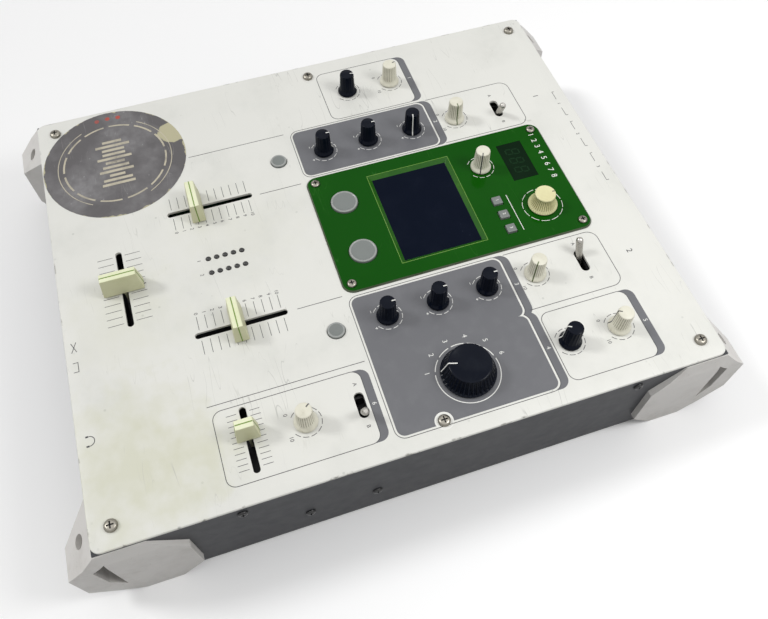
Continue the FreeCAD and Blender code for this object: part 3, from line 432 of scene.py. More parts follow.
def round_corners(piece, radius, segments=8):
    """Bevel the upright edges of a block."""
    points = piece.data.vertices

    def upright(edge):
        first, second = (points[index].co for index in edge.vertices)
        return abs(first.z - second.z) > abs(first.x - second.x) + abs(first.y - second.y)

    choose(piece, "edges", upright)
    bpy.ops.mesh.bevel(offset=radius, segments=segments, affect="EDGES")
    close()
    return piece


def soften_top(piece, width, segments=3):
    """Bevel the rim of the upper face of a piece."""
    top = max(point.co.z for point in piece.data.vertices)
    choose(piece, "polygons", lambda face: face.normal.z > 0.99 and abs(face.center.z - top) < 0.01 * MM)
    bpy.ops.mesh.region_to_loop()
    bpy.ops.mesh.bevel(offset=width, segments=segments, affect="EDGES")
    close()
    return piece


def slot(x, y, long, wide, low, high, along_y=False):
    """Make a round-ended slot cutter; sizes in millimetres, heights in metres."""
    size = (wide, long) if along_y else (long, wide)
    return round_corners(box_at(x, y, *size, low, high), wide * 0.49 * MM, 6)


def joined(pieces):
    """Join pieces into the first one."""
    pick(*pieces)
    if len(pieces) > 1:
        bpy.ops.object.join()
    return bpy.context.object


def modified(piece, kind, **settings):
    """Apply a modifier with its settings to a piece."""
    pick(piece)
    bpy.ops.object.modifier_add(type=kind)
    modifier = piece.modifiers[-1]
    for setting, value in settings.items():
        setattr(modifier, setting, value)
    bpy.ops.object.modifier_apply(modifier=modifier.name)
    return piece


def combine(piece, tools, operation="DIFFERENCE"):
    """Cut tools out of a piece, or weld them to it."""
    tool = joined(tools)
    modified(piece, "BOOLEAN", operation=operation, solver="EXACT", object=tool)
    bpy.data.objects.remove(tool)
    return piece


def soften(piece, width, segments=2):
    """Round every sharp edge of a piece with a bevel."""
    return modified(piece, "BEVEL", width=width, segments=segments, limit_method="ANGLE",
                    angle_limit=math.radians(30), use_clamp_overlap=False)


def turned(profile, sides):
    """Extrude a circle up through a half outline of radii and heights."""
    (radius, height), *steps = profile
    deselect()
    bpy.ops.mesh.primitive_circle_add(vertices=sides, radius=radius * MM, fill_type="NGON",
                                      location=(0, 0, height * MM))
    piece = fix_place()
    choose(piece, "polygons", lambda face: True)
    for wide, high in steps:
        draw_out(0, 0, (high - height) * MM)
        share = wide / radius
        bpy.ops.transform.resize(value=(share, share, 1), center_override=(0, 0, high * MM))
        radius, height = wide, high
    bpy.ops.mesh.select_all(action="SELECT")
    bpy.ops.mesh.normals_make_consistent(inside=False)
    close()
    return piece


def widest(profile):
    """Largest radius of a half outline."""
    return max(radius for radius, _ in profile)


def tallest(profile):
    """Greatest height of a half outline or a line."""
    return max(height for _, height in profile)


def ribbed(profile, sides, finishes, low, high, group, depth):
    """Turn a piece and draw alternate groups of its points towards its axis, in its last finish."""
    piece = coat(turned(profile, sides), *finishes)
    step = 2 * math.pi / sides

    def sunk(point):
        number = round(math.atan2(point.co.x, point.co.y) / step)
        return low * MM <= point.co.z <= high * MM and number % (2 * group) < group

    choose(piece, "vertices", sunk)
    bpy.ops.transform.resize(value=(depth, depth, 1), center_override=(0, 0, 0))
    bpy.ops.mesh.select_mode(type="FACE")
    # The sunk faces take the last finish, which on the pale knobs is a painted shade in the grooves
    piece.active_material_index = len(piece.data.materials) - 1
    bpy.ops.object.material_slot_assign()
    close()
    return piece


def ribbon(path, width, finish_used):
    """Extrude the end of a narrow strip along a path of reach and height, then give it thickness."""
    (start, height), (end, _), *steps = path
    deselect()
    bpy.ops.mesh.primitive_plane_add(size=1, location=(0, (start + end) / 2 * MM, height * MM))
    piece = bpy.context.object
    piece.scale = (width, (end - start) * MM, 1)
    fix_place()
    points = piece.data.vertices
    choose(piece, "edges", lambda edge: all(points[i].co.y > (end - 0.01) * MM for i in edge.vertices))
    reach = end
    for out, high in steps:
        draw_out(0, (out - reach) * MM, (high - height) * MM)
        reach, height = out, high
    close()
    modified(piece, "SOLIDIFY", thickness=STRIP_GAUGE, offset=0)
    return coat(piece, finish_used)


def copied(pattern, place, turn=(0, 0, 0)):
    """Copy a pattern with a mesh of its own, turn it and set it in place."""
    pick(pattern)
    bpy.ops.object.duplicate(linked=False)
    piece = bpy.context.object
    piece.rotation_euler = turn
    piece.location = place
    return fix_place()


def drop(*patterns):
    """Delete patterns that have been copied."""
    for pattern in patterns:
        bpy.data.objects.remove(pattern)


def node_copy(name):
    """Copy a frame node's mesh, merged and with its flat faces whole."""
    piece = bpy.data.objects.new(name, frame["nodes"][name].data.copy())
    bpy.context.collection.objects.link(piece)
    choose(piece, "polygons", lambda face: True)
    bpy.ops.mesh.remove_doubles(threshold=0.001 * MM)
    bpy.ops.mesh.dissolve_limited(angle_limit=math.radians(1))
    close()
    return piece


def coat(piece, *finishes):
    """Give a piece its finishes."""
    piece.data.materials.clear()
    for used in finishes:
        piece.data.materials.append(used)
    return piece


def paint_faces(piece, index, test):
    """Give the faces that pass a test another of the piece's finishes."""
    choose(piece, "polygons", test)
    piece.active_material_index = index
    bpy.ops.object.material_slot_assign()
    close()


def settle(piece, name, body, slot_name, *nodes, angle=35):
    """Name a finished piece, smooth it, and hang it on its body in place of its nodes."""
    piece.name = name
    piece.data.name = name
    pick(piece)
    bpy.ops.object.shade_smooth_by_angle(angle=math.radians(angle))
    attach(piece, body)
    if nodes:
        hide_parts(*nodes)
    return piece


def middle(name):
    """Centre of a node's box."""
    low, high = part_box(name)
    return (low + high) / 2


def pivot(name):
    """Place of a moving node across the plate, in millimetres: its hinge, or else its middle."""
    x, y, _ = JOINTS[name].get("pos_m") or middle(name)
    return x / MM, y / MM


def deck(name):
    """Height of the surface under a control."""
    x, y = (part * MM for part in pivot(name))
    inside = PANEL_LOW.x < x < PANEL_HIGH.x and PANEL_LOW.y < y < PANEL_HIGH.y
    return PANEL_TOP if inside else PLATE_TOP


def dial_turn(name):
    """A pointer's clockwise turn from the rear, or a lever's lean, from the middle of its range."""
    low, high = JOINTS[name]["range_deg"]
    return (low + high) / 2


def selector_start():
    """Clockwise turn of the selector's first position from the rear."""
    return dial_turn("knob_eq_type") + SELECTOR_FIRST


def seated(pattern, name, height, turn=0):
    """Copy a knob to its shaft, turned clockwise in degrees, with its top level with its node's."""
    place = at(*pivot(name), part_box(name)[1].z - height * MM)
    return copied(pattern, place, (0, 0, -math.radians(turn)))


# Finishes


def linear(shade):
    """Turn a screen colour into the renderer's."""
    return (*Color(shade[:3]).from_srgb_to_scene_linear(), 1)


def node(tree, kind, options, feeds):
    """Add a node, set its options, and feed its inputs with values or sockets."""
    item = tree.nodes.new("ShaderNode" + kind)
    for option, value in options.items():
        setattr(item, option, value)
    for label, value in feeds.items():
        if isinstance(value, bpy.types.NodeSocket):
            tree.links.new(value, item.inputs[label])
        else:
            item.inputs[label].default_value = value
    return item


def math_node(tree, operation, *values):
    """Add a calculation and return its result."""
    return node(tree, "Math", {"operation": operation}, dict(enumerate(values))).outputs[0]


def times(tree, first, second):
    """Multiply two values."""
    return math_node(tree, "MULTIPLY", first, second)


def object_place(tree):
    """Where a point of the surface lies on its piece."""
    return node(tree, "TexCoord", {}, {}).outputs["Object"]


def distance(tree, place, centre):
    """How far a point of the surface is from a centre."""
    return node(tree, "VectorMath", {"operation": "DISTANCE"}, {0: place, 1: centre}).outputs["Value"]


def blend(tree, share, first, second):
    """Mix two colours by a share and return the result."""
    return node(tree, "Mix", {"data_type": "RGBA"}, {0: share, 6: first, 7: second}).outputs[2]


def ramp(tree, value, low, high, start=0.0, end=1.0):
    """Map a value's range to another one."""
    return node(tree, "MapRange", {}, {0: value, 1: low, 2: high, 3: start, 4: end}).outputs[0]


def noise(tree, vector, scale, detail=3.0):
    """Add a noise pattern and return its strength."""
    return node(tree, "TexNoise", {}, {"Vector": vector, "Scale": scale, "Detail": detail}).outputs["Fac"]


def new_group(name, inputs, outputs):
    """Start a shader node group with named sockets."""
    tree = bpy.data.node_groups.new(name, "ShaderNodeTree")
    for label, kind in inputs.items():
        tree.interface.new_socket(label, in_out="INPUT", socket_type="NodeSocket" + kind)
    for label, kind in outputs.items():
        tree.interface.new_socket(label, in_out="OUTPUT", socket_type="NodeSocket" + kind)
    taken = tree.nodes.new("NodeGroupInput").outputs
    given = tree.nodes.new("NodeGroupOutput").inputs
    return tree, taken, given, object_place(tree)


def weathering():
    """Dirt in patches and specks on a colour, uneven gloss and a fine grain."""
    if "weathering" in bpy.data.node_groups:
        return bpy.data.node_groups["weathering"]
    inputs = {"Colour": "Color", "Dirt": "Color", "Amount": "Float", "Scale": "Float", "Specks": "Float",
              "Gloss": "Float", "Spread": "Float", "Grain": "Float"}
    outputs = {"Colour": "Color", "Roughness": "Float", "Height": "Float"}
    tree, taken, given, place = new_group("weathering", inputs, outputs)
    patches = ramp(tree, noise(tree, place, taken["Scale"], 6.0), 0.46, 0.74)
    small = noise(tree, place, times(tree, taken["Scale"], 7.0), 4.0)
    broken = times(tree, patches, ramp(tree, small, 0.3, 0.7, 0.4, 1.0))
    dirty = blend(tree, times(tree, broken, taken["Amount"]), taken["Colour"], taken["Dirt"])
    dots = node(tree, "TexVoronoi", {}, {"Vector": place, "Scale": times(tree, taken["Scale"], 4.0)})
    sparse = ramp(tree, noise(tree, place, taken["Scale"], 1.0), 0.5, 0.6)
    speck = times(tree, ramp(tree, dots.outputs["Distance"], 0.05, 0.09, 1.0, 0.0), sparse)
    spotted = blend(tree, times(tree, speck, taken["Specks"]), dirty, taken["Dirt"])
    tree.links.new(spotted, given["Colour"])
    uneven = times(tree, math_node(tree, "SUBTRACT", small, 0.5), taken["Spread"])
    tree.links.new(math_node(tree, "ADD", taken["Gloss"], uneven), given["Roughness"])
    tree.links.new(noise(tree, place, taken["Grain"], 2.0), given["Height"])
    return tree


def scratches():
    """Thin broken lines along one direction."""
    if "scratches" in bpy.data.node_groups:
        return bpy.data.node_groups["scratches"]
    tree, taken, given, place = new_group("scratches", {"Scale": "Float", "Turn": "Vector"},
                                          {"Mask": "Float"})
    drawn = node(tree, "Mapping", {}, {"Vector": place, "Rotation": taken["Turn"], "Scale": (1, 9, 9)})
    lines = noise(tree, drawn.outputs[0], taken["Scale"], 1.0)
    away = math_node(tree, "ABSOLUTE", math_node(tree, "SUBTRACT", lines, 0.5))
    thin = ramp(tree, away, 0.0, 0.006, 1.0, 0.0)
    gaps = ramp(tree, noise(tree, place, times(tree, taken["Scale"], 2.3), 2.0), 0.56, 0.62)
    tree.links.new(times(tree, thin, gaps), given["Mask"])
    return tree


def place_group(tree, group, feeds):
    """Place a node group and feed its inputs."""
    return node(tree, "Group", {"node_tree": group}, feeds)


def finish(name, shade, dirt, amount=0.35, scale=45.0, specks=0.0, gloss=0.4, spread=0.2, grain=1500.0,
           bump=0.15, **sockets):
    """A weathered surface; other sockets of the shader are set by their names."""
    name = "mixer_" + name
    if name in bpy.data.materials:
        return bpy.data.materials[name]
    material = bpy.data.materials.new(name)
    material.use_nodes = True
    tree = material.node_tree
    shader = tree.nodes["Principled BSDF"]
    feeds = {"Colour": linear(shade), "Dirt": linear(dirt), "Amount": amount, "Scale": scale,
             "Specks": specks, "Gloss": gloss, "Spread": spread, "Grain": grain}
    worn = place_group(tree, weathering(), feeds)
    height = worn.outputs["Height"]
    relief = node(tree, "Bump", {}, {"Strength": bump, "Distance": GRAIN_DEPTH, "Height": height})
    tree.links.new(worn.outputs["Colour"], shader.inputs["Base Color"])
    tree.links.new(worn.outputs["Roughness"], shader.inputs["Roughness"])
    tree.links.new(relief.outputs[0], shader.inputs["Normal"])
    for label, value in sockets.items():
        shader.inputs[label.replace("_", " ")].default_value = value
    return material


def seen_share(tree):
    """One where the camera looks, straight or by way of metal or glass."""
    path = node(tree, "LightPath", {}, {}).outputs
    share = math_node(tree, "MAXIMUM", path["Is Camera Ray"], path["Is Glossy Ray"])
    return math_node(tree, "MAXIMUM", share, path["Is Transmission Ray"])


def over(material, share, shade):
    """Lay another colour over a material's colour by a share."""
    tree = material.node_tree
    socket = tree.nodes["Principled BSDF"].inputs["Base Color"]
    below = socket.links[0].from_socket
    tree.links.new(blend(tree, share, below, linear(shade)), socket)


def scratched(material, shade, scale, angle, amount):
    """Add fine scratches of another shade to a material."""
    tree = material.node_tree
    lines = place_group(tree, scratches(), {"Scale": scale, "Turn": (0, 0, math.radians(angle))})
    over(material, times(tree, lines.outputs["Mask"], amount), shade)


def spot_share(tree, centre, inner, outer):
    """Share that falls from one at a spot to nothing at some distance, broken by noise."""
    place = object_place(tree)
    fray = 0.3 * outer
    ragged = ramp(tree, noise(tree, place, 90.0, 5.0), 0.3, 0.7, -fray, fray)
    return ramp(tree, math_node(tree, "ADD", distance(tree, place, centre), ragged), inner, outer, 1.0, 0.0)


def plate_paint(look):
    """Off-white paint with smudges, yellow stains, scratches and chipped edges."""
    paint = finish("plate_paint", look.paint, look.dirt, amount=0.30, scale=26.0, specks=0.5, gloss=0.42,
                   grain=2500.0, bump=0.08)
    tree = paint.node_tree
    for x, y, reach, strength in STAINS:
        share = spot_share(tree, at(x, y, PLATE_TOP), 0.1 * reach * MM, reach * MM)
        over(paint, times(tree, share, strength), look.stain)
    scratched(paint, (0.62, 0.62, 0.60), 17.0, 20, 0.55)
    scratched(paint, (0.74, 0.74, 0.71), 24.0, -65, 0.5)
    place = object_place(tree)
    across = node(tree, "SeparateXYZ", {}, {0: place}).outputs
    sides = []
    for axis, half in ((0, PLATE_HIGH.x), (1, PLATE_HIGH.y)):
        away = math_node(tree, "ABSOLUTE", across[axis])
        sides.append(ramp(tree, away, *[half - width * MM for width in CHIPPED_RIM]))
    rim = math_node(tree, "MAXIMUM", *sides)
    chips = ramp(tree, noise(tree, place, 130.0, 4.0), 0.60, 0.68)
    over(paint, times(tree, times(tree, rim, chips), 0.8), (0.42, 0.41, 0.38))
    return paint


def sticker_paper(look):
    """Worn dark print on paper, torn towards the rear and frayed round its edge."""
    paper = finish("sticker_paper", look.sticker, (0.56, 0.555, 0.56), amount=0.75, scale=38.0, specks=0.9,
                   gloss=0.6, grain=1200.0, bump=0.2)
    tree = paper.node_tree
    scratched(paper, (0.60, 0.60, 0.60), 30.0, 15, 0.7)
    scratched(paper, (0.64, 0.63, 0.62), 22.0, 70, 0.7)
    x, y = STICKER_CENTRE
    place = object_place(tree)
    ragged = ramp(tree, noise(tree, place, 160.0, 4.0), 0.35, 0.65, -2.2 * MM, 0.4 * MM)
    fray = math_node(tree, "ADD", distance(tree, place, at(x, y, PLATE_TOP)), ragged)
    over(paper, ramp(tree, fray, (STICKER_RADIUS - 0.9) * MM, (STICKER_RADIUS - 0.5) * MM), look.torn)
    right, back = STICKER_TEAR
    over(paper, spot_share(tree, at(x + right, y + back, PLATE_TOP), 9.0 * MM, 9.8 * MM), look.torn)
    return paper


def black_gloss(look):
    """Dark moulded knobs with dust on them."""
    return finish("black_gloss", look.black, (0.13, 0.15, 0.18), amount=0.3, scale=140.0, specks=0.2,
                  gloss=0.22, spread=0.15, grain=2600.0, bump=0.08, Specular_IOR_Level=0.08)


def ivory(look):
    """Pale moulded knobs, grubby where they are held."""
    return finish("ivory", look.ivory, (0.66, 0.64, 0.54), amount=0.5, scale=120.0, gloss=0.42, grain=2200.0,
                  bump=0.1)


def groove(look):
    """Painted shade in the grooves of pale knobs, darker than the ivory, with dirt in patches on it."""
    return finish("groove", look.groove, (0.36, 0.34, 0.26), amount=0.5, scale=120.0, gloss=0.55,
                  grain=2200.0, bump=0.1)


def steel(look):
    """Bright worn steel."""
    return finish("bright_steel", look.steel, (0.52, 0.50, 0.47), amount=0.5, scale=200.0, gloss=0.26,
                  spread=0.2, grain=3000.0, bump=0.1, Metallic=1.0)


def black_parts(look):
    """Black plastic and blackened steel of the fittings."""
    return finish("black_parts", look.black, (0.19, 0.19, 0.19), amount=0.5, scale=150.0, gloss=0.45,
                  grain=2000.0)


def ink(name, shade, gloss=0.45):
    """Printed ink, a little worn."""
    worn = [0.75 * part + 0.18 for part in shade]
    return finish(name, shade, worn, amount=0.3, scale=130.0, gloss=gloss, grain=2500.0, bump=0.05)


# Flat prints


def point_round(x, y, radius, turn):
    """A point at a distance from a centre, turned clockwise from the rear in degrees."""
    angle = math.radians(turn)
    return x + radius * math.sin(angle), y + radius * math.cos(angle)


def arc(x, y, radius, start, end, steps=8):
    """Points round a centre from one turn to another."""
    return [point_round(x, y, radius, start + (end - start) * step / steps) for step in range(steps + 1)]


def circle(x, y, radius, steps=64):
    """A whole turn of points."""
    return arc(x, y, radius, 0, 360, steps)[:-1]


def bar(x, y, long, wide, turn=0.0):
    """A rectangle that lies along x, turned clockwise."""
    sine, cosine = math.sin(math.radians(turn)), math.cos(math.radians(turn))
    corners = [(-long / 2, -wide / 2), (long / 2, -wide / 2), (long / 2, wide / 2), (-long / 2, wide / 2)]
    return [(x + u * cosine + v * sine, y - u * sine + v * cosine) for u, v in corners]


def dash(x, y, radius, wide, start, end):
    """A stretch of a ring."""
    steps = max(4, round(abs(end - start) / 6))
    return arc(x, y, radius + wide / 2, start, end, steps) + arc(x, y, radius - wide / 2, end, start, steps)


def rear_edge(sides, rear, corner, outset=0.0):
    """Left to right along the rounded rear of tabs that stand side by side."""
    reach = corner + outset
    meet = math.degrees(math.acos(min(1.0, corner / reach)))
    points = []
    for left, right in zip(sides, sides[1:]):
        points += arc(left + corner, rear - corner, reach, 270 if left == sides[0] else 270 + meet, 360)
        points += arc(right - corner, rear - corner, reach, 0, 90 if right == sides[-1] else 90 - meet)
    return points


def outline(section, outset=0.0):
    """Outline of a printed section, moved outwards."""
    sides, front, rear, corner = section
    reach = corner + outset
    points = rear_edge(sides, rear, corner, outset)
    points += arc(sides[-1] - corner, front + corner, reach, 90, 180)
    return points + arc(sides[0] + corner, front + corner, reach, 180, 270)


def ring_line(section, outset=0.0):
    """The two loops of a thin line round a section."""
    return [outline(section, outset + LINE_WIDTH / 2), outline(section, outset - LINE_WIDTH / 2)]


def rear_band(section, outset=0.0):
    """A band behind a section that tapers round its corners."""
    sides, _, rear, corner = section
    inner = rear_edge(sides, rear, corner, outset)
    return [(x, y + BAND_DEPTH) for x, y in inner] + inner[::-1]


def open_line(section):
    """A thin line round a section that is open at the front."""
    sides, front, rear, corner = section
    half = LINE_WIDTH / 2
    outer = [(sides[0] - half, front)] + rear_edge(sides, rear, corner, half) + [(sides[-1] + half, front)]
    inner = [(sides[0] + half, front)] + rear_edge(sides, rear, corner, -half) + [(sides[-1] - half, front)]
    return outer + inner[::-1]


def dashed_ring(name, radius=RING_RADIUS, count=10, sweep=RING_SWEEP, share=0.72):
    """Dashes round a knob, open at the front."""
    x, y = pivot(name)
    step = sweep / count
    starts = [-sweep / 2 + step * (number + (1 - share) / 2) for number in range(count)]
    return [dash(x, y, radius, RING_WIDTH, start, start + step * share) for start in starts]


def signs(name):
    """A minus and a plus at the ends of a knob's ring."""
    x, y = pivot(name)
    left, low = point_round(x, y, SIGN_REACH, -SIGN_TURN)
    right, _ = point_round(x, y, SIGN_REACH, SIGN_TURN)
    arms = [bar(right, low + side * SIGN_ARM_OUT, *SIGN_ARM) for side in (1, -1)]
    return [bar(left, low, *SIGN_BAR), bar(right, low, *SIGN_BAR), *arms]


def printed(loops, finish_used, height, name, slot_name="white_paint"):
    """Fill loops, given in millimetres, as a thin layer on the case at a height."""
    curve = bpy.data.curves.new("print", "CURVE")
    curve.dimensions = "2D"
    curve.fill_mode = "BOTH"
    curve.extrude = PRINT_DEPTH
    for loop in loops:
        spline = curve.splines.new("POLY")
        spline.points.add(len(loop) - 1)
        for point, (x, y) in zip(spline.points, loop):
            point.co = (x * MM, y * MM, 0, 1)
        spline.use_cyclic_u = True
    piece = bpy.data.objects.new("print", curve)
    bpy.context.collection.objects.link(piece)
    piece.location.z = height
    pick(piece)
    bpy.ops.object.convert(target="MESH")
    return settle(coat(fix_place(), finish_used), name, "case", slot_name)


def lettered(marks, size, finish_used, height, name, body="case", slot_name="white_paint"):
    """Set plain numerals and signs: text and place in millimetres."""
    pieces = []
    for text, x, y in marks:
        deselect()
        bpy.ops.object.text_add(location=at(x, y, height))
        words = bpy.context.object
        words.data.body = text
        words.data.size = size * MM
        words.data.extrude = PRINT_DEPTH
        words.data.resolution_u = 3
        words.data.align_x = "CENTER"
        words.data.align_y = "CENTER"
        bpy.ops.object.convert(target="MESH")
        pieces.append(fix_place())
    return settle(coat(joined(pieces), finish_used), name, body, slot_name)


# Pieces


def travel(name):
    """Centre of a cap's slot, its length and whether it runs along y, in millimetres."""
    joint = JOINTS[name]
    low, high = joint["range_m"]
    centre = middle(name) + Vector(joint["axis"]) * (low + high) / 2
    return centre.x / MM, centre.y / MM, (high - low) / MM + SLOT_ROOM, abs(joint["axis"][1]) > 0.5


def lamp_places():
    """Places of the two columns of lamps."""
    low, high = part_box("level_lamps")
    radius = widest(LAMP) * MM
    columns = (low.x + radius, high.x - radius)
    first, last = low.y + radius, high.y - radius
    rows = [first + (last - first) * step / (LAMPS_IN_COLUMN - 1) for step in range(LAMPS_IN_COLUMN)]
    return [(x / MM, y / MM) for x in columns for y in rows]


def screw_places(name):
    """Corner places of a group of screws, in millimetres."""
    low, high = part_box(name)
    radius = widest(PLATE_SCREW if name == "plate_screws" else SMALL_SCREW)
    return [(x, y) for x in (low.x / MM + radius, high.x / MM - radius)
            for y in (low.y / MM + radius, high.y / MM - radius)]


def plate_screw_places():
    """The six screws of the plate."""
    corners = screw_places("plate_screws")
    return corners + [(x, MIDDLE_SCREW_Y) for x in sorted({x for x, _ in corners})]


def button_hole(name, low, high):
    """Cutter for a button, from the size of its flange."""
    first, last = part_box(name)
    half = (last.x - first.x) / 2 / MM - BUTTON_FLANGE + BUTTON_GAP
    x, y = pivot(name)
    if "memory" in name:
        return box_at(x, y, 2 * half, 2 * half, low, high)
    return rod(x, y, half, low, high, 48)


def control_holes(low, high, on_panel_only=False):
    """Cutters for the controls that pass through a sheet."""
    cutters = []
    for name in JOINTS:
        if name in ("button_power", "curve_lever") or (on_panel_only and deck(name) != PANEL_TOP):
            continue
        x, y = pivot(name)
        if name.startswith("knob_"):
            cutters.append(rod(x, y, SHAFT_HOLE, low, high))
        elif name.startswith("toggle_"):
            cutters.append(slot(x, y, *TOGGLE_SLOT, low, high))
        elif name.endswith("_cap"):
            x, y, long, along_y = travel(name)
            cutters.append(slot(x, y, long, SLOT_WIDTH, low, high, along_y))
        else:
            cutters.append(button_hole(name, low, high))
    return cutters


class MIXER_OT_plate(bpy.types.Operator):
    """Model the painted plate with its holes"""
    bl_idname = "mixer.plate"
    bl_label = "Top plate"

    def execute(self, context):
        look = context.scene.mixer_plate
        skin = soften_top(round_corners(block(PLATE_LOW, PLATE_HIGH), look.corner), look.edge)
        low, high = PLATE_LOW.z - MM, PLATE_HIGH.z + MM
        cutters = control_holes(low, high)
        cutters += [rod(x, y, LAMP_HOLE, low, high, 20) for x, y in lamp_places()]
        screws = plate_screw_places() + screw_places("pad_screws")
        cutters += [rod(x, y, SCREW_HOLE, low, high, 20) for x, y in screws]
        wide, deep = (size + 2 * (BEZEL_SLOPE + BEZEL_LIP + SEAT) for size in TOUCH_SIZE)
        cutters.append(box_at(0, TOUCH_Y, wide, deep, low, high))
        combine(skin, cutters)
        settle(coat(skin, plate_paint(look)), "plate_skin", "case", "white_paint", "top_plate")
        return {"FINISHED"}


class MIXER_OT_prints(bpy.types.Operator):
    """Print the sections, scales and numerals on the plate"""
    bl_idname = "mixer.prints"
    bl_label = "Prints on the plate"

    def execute(self, context):
        look = context.scene.mixer_plate
        dark = ink("dark_ink", look.ink)
        grey = ink("grey_ink", look.grey_ink)
        pale = ink("pale_ink", look.pale_ink)
        low = PLATE_TOP + PRINT_DEPTH
        high = low + 1.5 * PRINT_DEPTH

        fills = [outline(section) for section in EQ_SECTIONS]
        fills += [rear_band(section, LINE_GAP) for section in EQ_SECTIONS]
        fills += [rear_band(section) for section in PLAIN_SECTIONS]
        printed(fills, grey, low, "section_prints")

        lines = []
        for section in EQ_SECTIONS:
            lines += ring_line(section, LINE_GAP)
        for section in PLAIN_SECTIONS:
            lines += ring_line(section)
        lines += [open_line(section) for section in INPUT_OUTLINES]
        for x, front, rear in SECTION_LINES:
            lines.append(bar(x, (front + rear) / 2, rear - front, LINE_WIDTH, 90))
        for name in RINGED_KNOBS:
            lines += dashed_ring(name)
        printed(lines + self.fader_scales() + self.edge_marks(), dark, high, "line_prints")

        rings = []
        for name in EQ_KNOBS:
            rings += dashed_ring(name) + signs(name)
        printed(rings + self.selector_ring(), pale, high, "pale_prints")
        x, y = plate_screw_places()[-1]
        printed([circle(x, y, BARE_SPOT)], pale, high, "bare_spot")
        self.numerals(dark, pale, high)
        return {"FINISHED"}

    def fader_scales(self):
        """Eleven ticks on each side of every fader slot."""
        ticks = []
        for name in FADER_CAPS:
            x, y, long, along_y = travel(name)
            run = long - SLOT_ROOM
            reach = SHORT_TICK if name == "cue_fader_cap" else LONG_TICK
            for number in range(TICK_STEPS + 1):
                along = run * (number / TICK_STEPS - 0.5)
                at_middle = name == "crossfader_cap" and number == TICK_STEPS / 2
                wide = MIDDLE_TICK_WIDTH if at_middle else TICK_WIDTH
                for side in (-1, 1):
                    across = side * (TICK_GAP + reach / 2)
                    if along_y:
                        ticks.append(bar(x + across, y + along, reach, wide))
                    else:
                        ticks.append(bar(x + along, y + across, reach, wide, 90))
        return ticks

    def selector_ring(self):
        """Five dashes between the selector's positions, and one round the rest of its ring."""
        x, y = pivot("knob_eq_type")
        starts = [selector_start() + SELECTOR_STEP * number for number in range(SELECTOR_PLACES)]
        ends = starts[1:] + [starts[0] + 360]
        return [dash(x, y, SELECTOR_RING, SELECTOR_RING_WIDTH, start + SELECTOR_GAP, end - SELECTOR_GAP)
                for start, end in zip(starts, ends)]

    def edge_marks(self):
        """Brackets over the rear sockets, and small signs over the front ones."""
        long, tall, thin = 7.0, 1.4, 0.3
        marks = []
        for left, right in REAR_GROUPS:
            marks += [bar(x, REAR_MARKS_Y, long, thin) for x in (left + long / 2, right - long / 2)]
            y = REAR_MARKS_Y + (thin + tall) / 2
            marks += [bar(x, y, thin, tall) for x in (left + thin / 2, right - thin / 2)]
        lever, socket = (middle(name).x / MM for name in ("curve_lever", "headphone_socket"))
        marks += self.cross_mark(lever + CROSS_MARK_X, FRONT_MARKS_Y)
        marks += self.bracket_mark(lever + BRACKET_MARK_X, FRONT_MARKS_Y)
        return marks + self.earphone_mark(socket + EARPHONE_MARK_X, EARPHONE_MARK_Y)

    def cross_mark(self, x, y):
        """One long bar, and two arms that stop short of it."""
        long, arm, turn = 6.7, 3.0, 24
        arm_x, arm_y = 1.55, 0.69
        arms = [bar(x + side * arm_x, y + side * arm_y, arm, LINE_WIDTH, -turn) for side in (-1, 1)]
        return [bar(x, y, long, LINE_WIDTH, turn), *arms]

    def bracket_mark(self, x, y):
        """A bar with a foot at each end."""
        long, rise = 5.9, 1.1
        foot, foot_x, foot_drop = 2.4, 2.77, 0.3
        feet = [bar(x + side * foot_x, y - foot_drop, LINE_WIDTH, foot) for side in (-1, 1)]
        return [bar(x, y + rise, long, LINE_WIDTH), *feet]

    def earphone_mark(self, x, y):
        """A bow with a pad at each end."""
        radius, bow = 2.6, 0.4
        pad, pad_drop = (0.9, 1.5), 0.9
        pads = [bar(x + side * radius, y - pad_drop, *pad) for side in (-1, 1)]
        return [dash(x, y, radius, bow, -90, 90), *pads]

    def numerals(self, dark, pale, height):
        """Numbers beside the faders, lamps, levels and the selector."""
        marks = []
        for name, side in (("fader_1_cap", 1), ("fader_2_cap", -1)):
            x, y, long, _ = travel(name)
            run = long - SLOT_ROOM
            for number in range(TICK_STEPS + 1):
                marks.append((str(number), x + side * FADER_TYPE_X, y + run * (number / TICK_STEPS - 0.5)))
        for number, (left, right) in enumerate(REAR_GROUPS):
            marks.append((str(number + 1), (left + right) / 2, REAR_MARKS_Y))
        lamps = lamp_places()
        y = lamps[0][1] + LAMP_TYPE_Y
        marks += [("1", lamps[0][0], y), ("2", lamps[-1][0], y)]
        out, down = LEVEL_TYPE
        for name in NUMBERED_KNOBS:
            x, y = pivot(name)
            marks += [("0", x - out, y + down), ("10", x + out, y + down)]
        for name in TOGGLES:
            x, y = pivot(name)
            marks += [("A", x - TOGGLE_TYPE_X, y), ("B", x + TOGGLE_TYPE_X, y)]
        lettered(marks, SMALL_TYPE, dark, height, "dark_numerals")
        x, y = CHANNEL_TYPE
        lettered([("1", -x, y), ("2", x, y)], LARGE_TYPE, dark, height, "channel_numerals")

